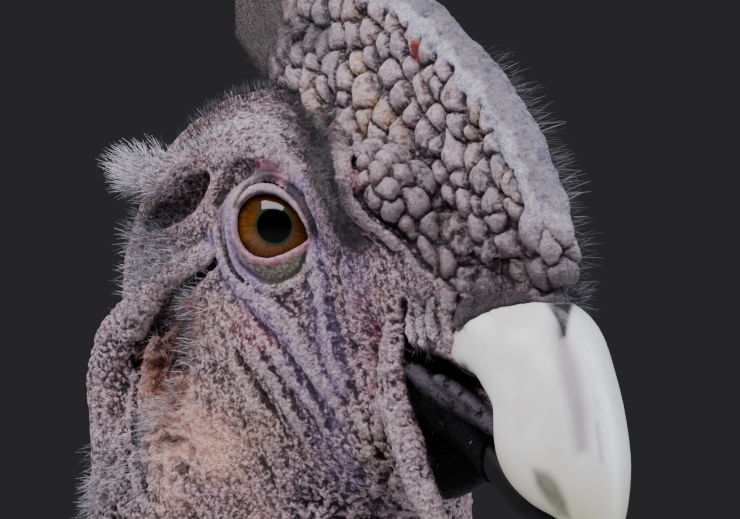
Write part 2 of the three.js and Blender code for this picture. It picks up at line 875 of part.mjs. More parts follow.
function buildRuff(torsoGrown, neckGrown) {
  const pieces = [];
  const core = new THREE.TorusGeometry(ruffRadius, 19, 6, 18);
  core.rotateX(0.42);
  core.translate(ruffAt.x, ruffAt.y, ruffAt.z);
  pieces.push(solidOf(core));
  const tilt = 0.42;
  const around = (angle, radius, rise) => {
    const back = radius * Math.sin(angle);
    return ruffAt
      .clone()
      .add(
        vec(
          radius * Math.cos(angle),
          back * Math.cos(tilt) - rise * Math.sin(tilt),
          back * Math.sin(tilt) + rise * Math.cos(tilt),
        ),
      );
  };
  const tiers = [
    { count: 16, turn: 0, reach: 50, rise: 8, fall: -34 },
    { count: 16, turn: 0.5, reach: 44, rise: 19, fall: -4 },
  ];
  for (const { count, turn, reach, rise, fall } of tiers) {
    for (let i = 0; i < count; i++) {
      const angle = ((i + turn) / count) * 2 * Math.PI;
      const vary = 1 + 0.12 * Math.sin(i * 5.1 + turn * 9);
      pieces.push(
        limb(
          [
            around(angle, ruffRadius - 6, rise * 0.3),
            around(angle, ruffRadius + reach * 0.45 * vary, rise),
            around(angle, ruffRadius + reach * vary, fall),
          ],
          [9, 15, 2],
          4,
          2,
          0.6,
        ),
      );
    }
  }
  return largest(cut(join(pieces), torsoGrown, neckGrown));
}

function neckCore(grow) {
  const spine = [vec(0, -152, 780), vec(0, -134, neckFloor - 30)];
  return skinOver((p) => skinField(p) - grow, spine, 4, 16);
}

// The whole bird
const bird = new THREE.Group();
bird.name = "andean_condor";

function add(name, solid, material) {
  const mesh = new THREE.Mesh(geometryOf(tidied(solid)), material);
  mesh.name = name;
  bird.add(mesh);
}

const grown = [cereStations, billStations, mandibleStations].map((list) => billPiece(list, gap));
const torso = buildTorso();
const torsoGrown = swollen(torso, 0.6);
const headGrown = headMass(gap);
const eyes = eyeBalls();

add("head", buildHead(...eyeBalls(gap), ...grown), skinFinish);
add("comb", largest(cut(join([combCore(), ...combBulbs()]), headGrown, ...grown)), combFinish);
add("cere", cut(billPiece(cereStations), nostrilCut()), cereFinish);
add("bill_upper", billPiece(billStations), hornFinish);
add("bill_lower", billPiece(mandibleStations), cereFinish);
add("eye_left", eyes[1], eyeFinish);
add("eye_right", eyes[0], eyeFinish);
add("neck", buildNeck(), skinFinish);
add("ruff", buildRuff(torsoGrown, neckCore(2.2)), downFinish);
add("torso", torso, blackFinish);
add("tail", buildTail(torsoGrown), blackFinish);

// Pieces of the left side, and the same on the right
const wing = buildWing();
const underWing = wingSlab(-10, 520, -13 - gap, 40, [-0.1, 0, 1.1, 1.1]);
const thigh = buildThigh();
const thighGrown = swollen(thigh, 0.6);
const foot = buildFoot();
const footGrown = swollen(foot, 0.9);
for (const [side, place] of [
  ["left", (solid) => solid],
  ["right", mirrored],
]) {
  add(`wing_${side}`, largest(cut(place(wing), torsoGrown)), silverFinish);
  add(`thigh_${side}`, largest(cut(place(thigh), torsoGrown, place(underWing))), blackFinish);
  add(`shank_${side}`, place(largest(cut(buildShank(), thighGrown, footGrown))), legFinish);
  add(`foot_${side}`, place(foot), legFinish);
  for (const toe of toes) {
    add(`claw_${toe.name}_${side}`, place(clawSolid(toe, footGrown)), clawFinish);
  }
}

// The whole stands centred over the origin
const middle = new THREE.Box3().setFromObject(bird).getCenter(vec());
bird.position.set(-middle.x, -middle.y, 0);

export default bird;
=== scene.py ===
import math

import bpy
import numpy as np
import openvdb
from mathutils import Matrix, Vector
from mathutils.bvhtree import BVHTree


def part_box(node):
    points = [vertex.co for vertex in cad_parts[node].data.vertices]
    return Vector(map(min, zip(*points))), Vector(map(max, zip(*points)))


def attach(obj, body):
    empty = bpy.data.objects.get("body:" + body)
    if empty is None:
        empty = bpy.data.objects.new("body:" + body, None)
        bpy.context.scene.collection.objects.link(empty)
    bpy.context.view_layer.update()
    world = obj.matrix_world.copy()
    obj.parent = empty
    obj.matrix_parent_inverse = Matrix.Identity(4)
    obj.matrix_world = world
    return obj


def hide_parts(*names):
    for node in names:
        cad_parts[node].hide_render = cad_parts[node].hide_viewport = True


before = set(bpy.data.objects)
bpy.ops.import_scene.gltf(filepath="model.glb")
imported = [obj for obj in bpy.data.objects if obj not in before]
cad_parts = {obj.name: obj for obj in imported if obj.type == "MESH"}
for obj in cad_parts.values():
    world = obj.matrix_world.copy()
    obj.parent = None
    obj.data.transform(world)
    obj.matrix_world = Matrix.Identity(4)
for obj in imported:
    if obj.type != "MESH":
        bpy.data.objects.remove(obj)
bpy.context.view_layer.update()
print("frame loaded")

# Forms are in millimetres until a mesh is made of them. The head has its own frame from the point
# between the eyes: f ahead, u up, r to the bird's right. The body's frame is the part's own.
eyeSpots = [(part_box(n)[0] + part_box(n)[1]) / 2 for n in ("eye_left", "eye_right")]
headSpot = np.array((eyeSpots[0] + eyeSpots[1]) / 2)
headPitch = math.radians(10)
ahead = np.array((0, -math.cos(headPitch), -math.sin(headPitch)))
above = np.array((0, -math.sin(headPitch), math.cos(headPitch)))
aside = np.array((-1.0, 0, 0))
bodySpot = headSpot - np.array((0, -0.205, 0.885))


def fromHead(p):
    p = np.asarray(p, float)
    return headSpot + 0.001 * (p[..., 0:1] * ahead + p[..., 1:2] * above + p[..., 2:3] * aside)


def toHead(p):
    rel = (np.asarray(p, float) - headSpot) * 1000
    return np.stack([rel @ ahead, rel @ above, rel @ aside], -1)


def fromBody(p):
    return bodySpot + 0.001 * np.asarray(p, float)


# The camera stands level with the head, on the bird's right
view = {"turn": 36, "distance": 2.0, "lens": 477, "right": 0.0016, "down": 0.00765, "size": (740, 519)}
turn = math.radians(view["turn"])
viewRight = np.array((math.cos(turn), -math.sin(turn), 0))
viewAhead = np.array((math.sin(turn), math.cos(turn), 0))
viewUp = np.array((0, 0, 1.0))
viewAim = headSpot + view["right"] * viewRight - view["down"] * viewUp
viewSpot = viewAim - view["distance"] * viewAhead
pixelSlope = 18 / view["lens"] / (view["size"][0] / 2)

camera = bpy.data.objects.new("camera", bpy.data.cameras.new("camera"))
camera.data.lens = view["lens"]
camera.data.sensor_width = 36
camera.data.clip_start, camera.data.clip_end = 0.05, 60
camera.location = viewSpot
camera.rotation_mode = "QUATERNION"
camera.rotation_quaternion = Vector(viewAhead).to_track_quat("-Z", "Y")
bpy.context.scene.collection.objects.link(camera)
bpy.context.scene.camera = camera


def pictureRay(x, y):
    across = (x - view["size"][0] / 2) * pixelSlope
    rise = (view["size"][1] / 2 - y) * pixelSlope
    way = viewAhead + viewRight * across + viewUp * rise
    return way / np.linalg.norm(way)


def inPicture(p):
    rel = np.asarray(p, float) - viewSpot
    deep = rel @ viewAhead
    x = view["size"][0] / 2 + rel @ viewRight / deep / pixelSlope
    y = view["size"][1] / 2 - rel @ viewUp / deep / pixelSlope
    return x, y


# Meshes, materials and coats
def hexColour(code):
    parts = [int(code[i:i + 2], 16) / 255 for i in (1, 3, 5)]
    return [c / 12.92 if c <= 0.04045 else ((c + 0.055) / 1.055) ** 2.4 for c in parts] + [1.0]


def feed(material, socket, value):
    if hasattr(value, "is_output"):
        material.node_tree.links.new(value, socket)
    else:
        socket.default_value = hexColour(value) if isinstance(value, str) else value


# Adds a node. A setting is a property, the number in a socket or the output that is linked to it.
def addNode(material, kind, settings={}):
    node = material.node_tree.nodes.new(kind)
    for key, value in settings.items():
        if key == "stops":
            ramp = node.color_ramp.elements
            while len(ramp) < len(value):
                ramp.new(0.5)
            for element, (place, code) in zip(ramp, value):
                element.position, element.color = place, hexColour(code)
        elif isinstance(key, int) or key in node.inputs:
            feed(material, node.inputs[key], value)
        else:
            setattr(node, key, value)
    return node


def startMaterial(name):
    material = bpy.data.materials.new(name)
    material.use_nodes = True
    return material, material.node_tree.nodes["Principled BSDF"]


def dress(material, shader, sockets):
    for key, value in sockets.items():
        feed(material, shader.inputs[key], value)
    return material


def marksOf(material, *keys):
    return [addNode(material, "ShaderNodeAttribute", {"attribute_name": key}).outputs["Fac"] for key in keys]


def objectPlace(material):
    return addNode(material, "ShaderNodeTexCoord").outputs["Object"]


def noiseIn(material, place, scale, detail, **more):
    settings = {"Vector": place, "Scale": scale, "Detail": detail, **more}
    return addNode(material, "ShaderNodeTexNoise", settings).outputs["Fac"]


# Noise drawn out by different scales along its axes
def drawnNoise(material, place, scales, detail):
    drawn = addNode(material, "ShaderNodeMapping", {"Scale": scales, "Vector": place}).outputs[0]
    return noiseIn(material, drawn, 1.0, detail)


def reckoned(material, operation, *values, clamp=False):
    settings = {"operation": operation, "use_clamp": clamp, **dict(enumerate(values))}
    return addNode(material, "ShaderNodeMath", settings).outputs[0]


def ranged(material, source, low, high, start=0.0, end=1.0):
    settings = {"From Min": low, "From Max": high, "To Min": start, "To Max": end, "Value": source}
    return addNode(material, "ShaderNodeMapRange", settings).outputs["Result"]


def over(material, colour, paint, share, blendType="MIX"):
    settings = {"data_type": "RGBA", "blend_type": blendType, 0: share, 6: colour, 7: paint}
    return addNode(material, "ShaderNodeMix", settings).outputs[2]


# A ramp of colours that are spread evenly from low to high
def ramped(material, source, low, high, codes):
    stops = list(zip(np.linspace(low, high, len(codes)).tolist(), codes))
    return addNode(material, "ShaderNodeValToRGB", {"stops": stops, "Fac": source}).outputs["Color"]


def bumped(material, height, distance, strength):
    settings = {"Distance": distance, "Strength": strength, "Height": height}
    return addNode(material, "ShaderNodeBump", settings).outputs["Normal"]


def meshData(name, points, faces, smooth=True):
    mesh = bpy.data.meshes.new(name)
    points = np.asarray(points, np.float32).reshape(-1, 3)
    groups = [np.asarray(group, np.int32) for group in faces if len(group)]
    corners = np.concatenate([group.ravel() for group in groups])
    sizes = np.concatenate([np.full(len(group), group.shape[1]) for group in groups])
    mesh.vertices.add(len(points))
    mesh.vertices.foreach_set("co", points.ravel())
    mesh.loops.add(len(corners))
    mesh.loops.foreach_set("vertex_index", corners)
    mesh.polygons.add(len(sizes))
    mesh.polygons.foreach_set("loop_start", np.concatenate(([0], np.cumsum(sizes)[:-1])).astype(np.int32))
    mesh.update(calc_edges=True)
    mesh.polygons.foreach_set("use_smooth", np.full(len(sizes), smooth))
    return mesh


def addPiece(name, points, faces, material, nodes=(), smooth=True, marks={}):
    mesh = meshData(name, points, faces, smooth)
    for mark, values in marks.items():
        layer = mesh.attributes.new(mark, "FLOAT", "POINT")
        layer.data.foreach_set("value", np.asarray(values, np.float32).ravel())
    mesh.materials.append(material)
    piece = bpy.data.objects.new(name, mesh)
    bpy.context.scene.collection.objects.link(piece)
    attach(piece, "root")
    if nodes:
        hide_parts(*nodes)
    return piece


# An unwrap of the bird's own skin: round the upright axis of the body across, and height upward
def unwrapped(p):
    p = np.asarray(p, float)
    middle = np.interp(p[..., 2], [0, 0.3, 0.5, 0.75, 0.95], [-0.07, 0.05, -0.05, -0.22, -0.27])
    turned = np.arctan2(p[..., 0], p[..., 1] - middle) / (2 * math.pi) + 0.5
    return np.stack([0.01 + 0.98 * turned, 0.01 + 0.98 * np.clip(p[..., 2] / 0.95, 0, 1)], -1)


# Many closed tubes at once. rings has a tube, a ring, a corner and a place on its four axes.
def tubeFaces(count, rows, sides):
    first = (np.arange(count) * rows * sides)[:, None, None]
    ring = (np.arange(rows - 1) * sides)[None, :, None]
    j = np.arange(sides)[None, None, :]
    a = first + ring + j
    b = first + ring + (j + 1) % sides
    walls = np.stack([a, b, b + sides, a + sides], -1).reshape(-1, 4)
    starts = (np.arange(count) * rows * sides)[:, None]
    last = (rows - 1) * sides
    if sides == 3:
        return [walls, np.concatenate([starts + [2, 1, 0], starts + last + [0, 1, 2]])]
    caps = [starts + [k, sides - 1 - k, sides - 2 - k, k + 1] for k in range(sides // 2 - 1)]
    return [walls, np.concatenate(caps + [c[:, ::-1] + last for c in caps])]


def addCoat(name, rings, roots, material, nodes=(), marks={}, smooth=True):
    count, rows, sides, _ = rings.shape
    faces = tubeFaces(count, rows, sides)
    along = np.broadcast_to(np.linspace(0, 1, rows)[None, :, None], rings.shape[:3])
    across = np.broadcast_to(np.linspace(0, 1, sides)[None, None, :], rings.shape[:3])
    marks = {key: np.broadcast_to(np.reshape(v, (count, -1, 1)) if np.ndim(v) < 3 else v, rings.shape[:3])
             for key, v in marks.items()}
    piece = addPiece(name, rings.reshape(-1, 3), faces, material, nodes, smooth,
                     {"along": along, **marks})
    patch = np.stack([across - 0.5, along - 0.5], -1) * 0.003
    places = (unwrapped(roots)[:, None, None, :] + patch).reshape(-1, 2)
    corners = np.empty(len(piece.data.loops), np.int32)
    piece.data.loops.foreach_get("vertex_index", corners)
    layer = piece.data.uv_layers.new(name="OFBake")
    layer.data.foreach_set("uv", places[corners].astype(np.float32).ravel())
    return piece


# Fields: negative inside, in millimetres
def blend(a, b, soft):
    part = np.clip(0.5 + 0.5 * (b - a) / soft, 0, 1)
    return b + (a - b) * part - soft * part * (1 - part)


def eggField(p, at, size):
    q = [x - c for x, c in zip(p, at)]
    near = np.sqrt(sum((x / s) ** 2 for x, s in zip(q, size)))
    steep = np.sqrt(sum((x / s ** 2) ** 2 for x, s in zip(q, size)))
    return near * (near - 1) / np.maximum(steep, 1e-6)


def coneField(p, a, radiusA, b, radiusB):
    a, b = np.asarray(a, float), np.asarray(b, float)
    way = b - a
    part = sum((x - c) * w for x, c, w in zip(p, a, way)) / (way @ way)
    part = np.clip(part, 0, 1)
    far = np.sqrt(sum((x - c - w * part) ** 2 for x, c, w in zip(p, a, way)))
    return far - (radiusA + (radiusB - radiusA) * part)


def emptyVolume(*lines):
    return {"lines": lines, "field": np.full([len(line) for line in lines], 60, np.float32)}


def boxOf(volume, low, high):
    return tuple(
        slice(max(int(np.searchsorted(line, a)) - 1, 0), int(np.searchsorted(line, b)) + 1)
        for line, a, b in zip(volume["lines"], low, high)
    )


# Changes the field only within a box, where change gives the new values there
def reshapeVolume(volume, low, high, change):
    cut = boxOf(volume, low, high)
    if any(c.stop - c.start < 2 for c in cut):
        return
    p = np.ix_(*(line[c].astype(np.float32) for line, c in zip(volume["lines"], cut)))
    volume["field"][cut] = change(volume["field"][cut], p)


def addForm(volume, form, centre, reach, soft):
    low = [c - r for c, r in zip(centre, reach)]
    high = [c + r for c, r in zip(centre, reach)]
    reshapeVolume(volume, low, high, lambda field, p: blend(field, form(p), soft))


# Joins a limb through a path to the volume, or cuts it out where sign is -1
def addLimb(volume, path, radii, soft, sign=1):
    for a, b, ra, rb in zip(path, path[1:], radii, radii[1:]):
        room = max(ra, rb) + 3 * soft + 2
        low = [min(x, y) - room for x, y in zip(a, b)]
        high = [max(x, y) + room for x, y in zip(a, b)]
        reshapeVolume(volume, low, high,
                      lambda field, p: sign * blend(sign * field, coneField(p, a, ra, b, rb), soft))


# The surface of a volume, as points in its own millimetres and four-sided faces that face out
def surfaceOf(volume):
    grid = openvdb.FloatGrid(3.0)
    grid.copyFromArray(np.clip(volume["field"], -3, 3).astype(np.float32), tolerance=0.0)
    points, quads = grid.convertToQuads(isovalue=0.0)
    points = np.stack(
        [np.interp(points[:, i], np.arange(len(line)), line) for i, line in enumerate(volume["lines"])], -1
    )
    a, b, c, d = (points[quads[:, i]] for i in range(4))
    if np.einsum("ij,ij->", np.cross(c - a, d - b), (a + c) / 2 - points.mean(0)) < 0:
        quads = quads[:, ::-1]
    return points, quads.astype(np.int32)


# The way out of each four-sided face and its area, from its corners
def facesOf(corners):
    a, b, c, d = np.moveaxis(corners, 1, 0)
    flat = np.cross(c - a, d - b)
    long = np.linalg.norm(flat, axis=1)
    return flat / np.maximum(long[:, None], 1e-9), long / 2


# Seeded draws of places on faces, by weight, with the way out at each
def scattered(draw, corners, outs, weight, count):
    chosen = draw.choice(len(corners), count, p=weight / weight.sum())
    u, v = draw.random((2, count, 1))
    a, b, c, d = np.moveaxis(corners[chosen], 1, 0)
    return (a * (1 - u) + b * u) * (1 - v) + (d * (1 - u) + c * u) * v, outs[chosen]


def normalsOf(points, quads):
    a, b, c, d = (points[quads[:, i]] for i in range(4))
    flat = np.cross(c - a, d - b)
    normals = np.zeros_like(points)
    for i in range(4):
        for k in range(3):
            normals[:, k] += np.bincount(quads[:, i], flat[:, k], len(points))
    return normals / np.maximum(np.linalg.norm(normals, axis=1, keepdims=True), 1e-9)


# Noise on points: smooth values, and round cells with the distance to the nearest two centres
def hashed(cells, salt):
    x, y, z = np.moveaxis(cells, -1, 0)
    n = (x * 73856093) ^ (y * 19349663) ^ (z * 83492791) ^ (salt * 2654435)
    n = (n ^ (n >> 13)) * 1274126177
    return ((n ^ (n >> 16)) & 0xFFFF) / 65535.0


def valueNoise(p, scale, salt=0, layers=3):
    total = np.zeros(len(p))
    size, weight, full = scale, 1.0, 0.0
    for layer in range(layers):
        q = p / size
        base = np.floor(q).astype(np.int64)
        part = q - base
        part = part * part * (3 - 2 * part)
        value = np.zeros(len(p))
        for corner in np.ndindex(2, 2, 2):
            share = np.prod([part[:, k] if c else 1 - part[:, k] for k, c in enumerate(corner)], axis=0)
            value += share * hashed(base + corner, salt + layer * 7)
        total += (value * 2 - 1) * weight
        full += weight
        size, weight = size / 2.1, weight * 0.55
    return total / full


def cellNoise(p, scale, salt=0):
    q = p / scale
    base = np.floor(q).astype(np.int64)
    first = np.full(len(p), 9.0)
    second = np.full(len(p), 9.0)
    mark = np.zeros(len(p))
    for offset in np.ndindex(3, 3, 3):
        cell = base + np.array(offset) - 1
        spot = cell + np.stack([hashed(cell, salt + k) for k in range(3)], -1)
        far = np.linalg.norm(q - spot, axis=1)
        nearer = far < first
        second = np.where(nearer, first, np.minimum(second, far))
        mark = np.where(nearer, hashed(cell, salt + 5), mark)
        first = np.where(nearer, far, first)
    return first, second, mark


# The head: forms as [f, u, r] and [half sizes]
skull = {
    "forms": [
        ((-14, 0, 0), (41, 25, 28)),
        ((-32, -16, 0), (25, 30, 30)),
        ((-2, -27, 10), (32, 24, 19)),
        ((22, -5, 6), (26, 17, 14)),
        ((22, 9, 14), (15, 10, 12)),
        ((8, -38, 7), (28, 15, 14)),
        ((22, -38, 0), (31, 14, 9)),
    ],
    "knob": ((-31.5, 4.5, 30), (9.5, 4.2, 6.5)),
    "soft": 7,
    "neck": [(-16, -30, 0), (-18, -62, 0), (-26.1, -156.9, 0), (-31.9, -262.5, 0)],
    "neckRadii": [30, 36, 35, 46],
    "neckFoot": -252,
}
combShape = {
    "ridge": [
        (67.2, -5), (69.6, 1), (67.4, 9.8), (62.6, 17), (55.2, 25), (45.4, 33.2), (31.6, 41), (14, 48),
        (-6, 52), (-26, 52), (-42, 47), (-52, 39),
    ],
    "foot": [
        (62, -8), (56, -9), (48, -8.5), (40, -6), (32, -1), (24, 4), (14, 10), (5, 17), (-8, 23), (-22, 25),
        (-36, 26), (-48, 30),
    ],
    "ridgeHalf": [2, 4, 4.5, 4.2, 4, 3.8, 3.6, 3.4, 3.2, 3, 2.6, 2],
    "footHalf": [3, 8, 10.5, 11, 11, 11, 11.5, 12, 12, 10, 7, 4],
}
beak = {
    "upper": [
        ((30, -1), (30, -22), 10), ((42, -2.2), (42, -21.5), 12), ((50, -3.2), (50, -21.8), 12.2),
        ((56.5, -3.5), (56.5, -22.5), 12.4), ((63, -3.6), (60.8, -25), 12.8),
        ((70, -5.5), (65.6, -29.4), 13.2), ((76.5, -11.5), (66.8, -37), 13.2),
        ((82, -20), (70.6, -41.2), 12.8), ((86, -29.5), (77.2, -44), 11.4), ((89.5, -39), (84.2, -45.8), 8),
        ((92, -47.5), (88.9, -49.6), 4), ((92.6, -53.5), (91.8, -54), 0.8),
    ],
    "lower": [
        ((30, -24), (30, -33), 11), ((44, -23.6), (44, -34.5), 12.4), ((55, -25.4), (55, -37), 11.2),
        ((61, -30.2), (61, -41), 10), ((66, -35.2), (65, -44.6), 8.6), ((70, -39.2), (69, -47.2), 7.4),
        ((76, -43), (75, -48.6), 5.4), ((80.5, -45.4), (80, -47.4), 2.6),
    ],
    "rings": 150,
    "corners": 80,
    "skinEdge": [
        (80, 7), (73, 0.4), (66.8, -4), (60.8, -6.8), (55.2, -10.4), (51.7, -14.2), (50.4, -17.6),
        (51.8, -20.6), (55, -23), (59.4, -26), (63.6, -28.6), (65.4, -31), (62.4, -34), (61, -38),
        (56, -38),
    ],
}


def smoothed(values, places):
    values = np.asarray(values, float)
    t = np.clip(np.asarray(places, float), 0, len(values) - 1)
    i = np.minimum(t.astype(int), len(values) - 2)
    part = (t - i).reshape((-1,) + (1,) * (values.ndim - 1))
    before = values[np.maximum(i - 1, 0)]
    start, end = values[i], values[i + 1]
    after = values[np.minimum(i + 2, len(values) - 1)]
    return (
        start
        + 0.5 * part * (end - before)
        + part ** 2 * (before - 2.5 * start + 2 * end - 0.5 * after)
        + part ** 3 * (1.5 * start - 1.5 * end + 0.5 * (after - before))
    )


# A horn shell through stations of top, low and half width, round over the top and squarer below
def beakLoft(stations, power):
    places = np.linspace(0, len(stations) - 1, beak["rings"])
    top = smoothed([s[0] for s in stations], places)
    low = smoothed([s[1] for s in stations], places)
    half = smoothed([s[2] for s in stations], places)
    angle = np.linspace(0, 2 * math.pi, beak["corners"], endpoint=False)
    c, s = np.cos(angle), np.sin(angle)
    power = np.where(c < 0, power + 1.3, power)
    squared = (np.abs(c) ** power + np.abs(s) ** power) ** (-1 / power)
    rise = c * squared
    wide = s * squared * (1 - 0.16 * np.clip(rise, 0, 1) ** 2)
    middle = (top + low)[:, None, :] / 2
    spine = middle + (top - low)[:, None, :] / 2 * rise[None, :, None]
    out = half[:, None] * wide[None, :]
    return np.concatenate([spine, out[..., None]], -1)


# Faces of rings that are joined in a row, with a point before the first and one after the last
def ringFaces(rings, corners):
    i = np.arange(rings - 1)[:, None] * corners
    j = np.arange(corners)[None, :]
    k = (j + 1) % corners
    walls = np.stack([i + j, i + k, i + corners + k, i + corners + j], -1).reshape(-1, 4)
    first, last = rings * corners, (rings - 1) * corners
    ends = [np.stack([np.full(corners, first), k[0], j[0]], -1),
            np.stack([np.full(corners, first + 1), last + j[0], last + k[0]], -1)]
    return walls, np.concatenate(ends)


def closedLoft(grid):
    points = grid.reshape(-1, 3)
    points = np.concatenate([points, grid[:1].mean(1), grid[-1:].mean(1)])
    walls, ends = ringFaces(*grid.shape[:2])
    a, b, c = (points[walls[:, i]] for i in range(3))
    if np.einsum("ij,ij->", np.cross(b - a, c - a), (a + c) / 2 - points.mean(0)) < 0:
        walls, ends = walls[:, ::-1], ends[:, ::-1]
    return points, walls, ends


upperHorn = closedLoft(beakLoft(beak["upper"], 2.35))
lowerHorn = closedLoft(beakLoft(beak["lower"], 2.5))


def outlineDistance(points, path, closed=True):
    path = [np.asarray(c, float) for c in path]
    pairs = list(zip(path, path[1:] + path[:1])) if closed else list(zip(path, path[1:]))
    near = np.full(points[0].shape, 1e9)
    inside = np.zeros(points[0].shape, bool)
    place = np.zeros(points[0].shape)
    x, y = points
    for k, (a, b) in enumerate(pairs):
        way = b - a
        part = np.clip(((x - a[0]) * way[0] + (y - a[1]) * way[1]) / max(way @ way, 1e-9), 0, 1)
        far = np.hypot(x - a[0] - way[0] * part, y - a[1] - way[1] * part)
        nearer = far < near
        place = np.where(nearer, k + part, place)
        near = np.where(nearer, far, near)
        crosses = (a[1] > y) != (b[1] > y)
        slope = a[0] + (y - a[1]) * way[0] / (way[1] if way[1] else 1e-9)
        inside ^= crosses & (x < slope)
    return (np.where(inside, -near, near) if closed else near), place


def combField(f, u):
    outline = combShape["ridge"] + combShape["foot"][::-1]
    edge, _ = outlineDistance((f, u), outline)
    toRidge, ridgePlace = outlineDistance((f, u), combShape["ridge"], closed=False)
    toFoot, footPlace = outlineDistance((f, u), combShape["foot"], closed=False)
    rise = toFoot / np.maximum(toFoot + toRidge, 1e-6)
    at = np.arange(len(combShape["ridgeHalf"]))
    ridgeHalf = np.interp(ridgePlace, at, combShape["ridgeHalf"])
    footHalf = np.interp(footPlace, at, combShape["footHalf"])
    return edge, footHalf + (ridgeHalf - footHalf) * rise ** 0.8


# The first two coordinates of a block of the grid, at each of its places
def flatOf(p):
    f, u, _ = p
    return [np.broadcast_to(v, (f.shape[0], u.shape[1], 1)) for v in (f, u)]


def headVolume(grain, floor):
    u = [58.0]
    while u[-1] > floor:
        u.append(u[-1] - grain * (1 + max(0, -62 - u[-1]) * 0.03))
    lines = (np.arange(-74, 80, grain), np.array(u[::-1]), np.arange(0, 52, grain))
    volume = emptyVolume(*lines)
    everywhere = ((-80, -300, -5), (90, 70, 60))
    forms = skull["forms"]

    def flesh(field, p):
        f, u, r = p
        for at, size in forms:
            field = blend(field, eggField((f, u, r), at, size), skull["soft"])
        return field

    reshapeVolume(volume, (-74, -75, 0), (80, 58, 52), flesh)
    orbit = lambda p: np.sqrt(p[0] ** 2 + p[1] ** 2 + (p[2] - 20) ** 2) - 12
    addForm(volume, orbit, (0, 0, 20), (22, 22, 22), 3.5)
    addForm(volume, lambda p: eggField(p, *skull["knob"]), skull["knob"][0], (22, 22, 22), 4)

    def neck(field, p):
        runs = [coneField(p, a, ra, b, rb) for a, b, ra, rb in
                zip(skull["neck"], skull["neck"][1:], skull["neckRadii"], skull["neckRadii"][1:])]
        whole = blend(blend(runs[0], runs[1], 12), runs[2], 12)
        return blend(field, whole, 14)

    reshapeVolume(volume, *everywhere, neck)

    def crest(field, p):
        _, _, r = p
        edge, half = combField(*flatOf(p))
        plate = -blend(-edge, -(r - half), 4)
        return blend(field, plate, 2)

    reshapeVolume(volume, (-60, -14, 0), (78, 58, 20), crest)
    return volume


def mirrorVolume(volume):
    f, u, r = volume["lines"]
    field = volume["field"]
    whole = np.concatenate([field[:, :, :0:-1], field], 2)
    return {"lines": (f, u, np.concatenate([-r[:0:-1], r])), "field": whole}


# A coarse first skin carries the places that are read from the photograph
carrierVolume = mirrorVolume(headVolume(1.4, -100))
carrierPoints, carrierQuads = surfaceOf(carrierVolume)
carrier = BVHTree.FromPolygons(fromHead(carrierPoints).tolist(), carrierQuads.tolist())
hornTree = {}
for key, horn in (("upper", upperHorn), ("lower", lowerHorn)):
    hornTree[key] = BVHTree.FromPolygons(fromHead(horn[0]).tolist(), horn[1].tolist())


# The place under a pixel of the photograph at a known distance from the middle plane
def atDepth(x, y, r):
    start = toHead(viewSpot)
    step = toHead(viewSpot + pictureRay(x, y)) - start
    return start + step * (r - start[2]) / step[2]


# Places on the skin under pixels of the photograph, in the head's frame, with the way out there
def onFace(path, trees=(carrier,)):
    spots, outs = [], []
    if len(path[0]) == 3:
        spots = np.array([atDepth(*place) for place in path])
        return spots, np.zeros_like(spots)
    for x, y in path:
        way = pictureRay(x, y)
        best = None
        for tree in trees:
            hit, normal, _, far = tree.ray_cast(Vector(viewSpot), Vector(way))
            if hit is not None and (best is None or far < best[2]):
                best = (hit, normal, far)
        if best is None:
            deep = (headSpot - viewSpot) @ viewAhead - 0.015
            near = viewSpot + way * (deep / (way @ viewAhead))
            best = min((tree.find_nearest(Vector(near)) for tree in trees), key=lambda n: n[3])
        spots.append(toHead(np.array(best[0])))
        normal = np.array(best[1])
        outs.append(np.array([normal @ ahead, normal @ above, normal @ aside]))
    return np.array(spots), np.array(outs)


print("carrier ready", len(carrierPoints))


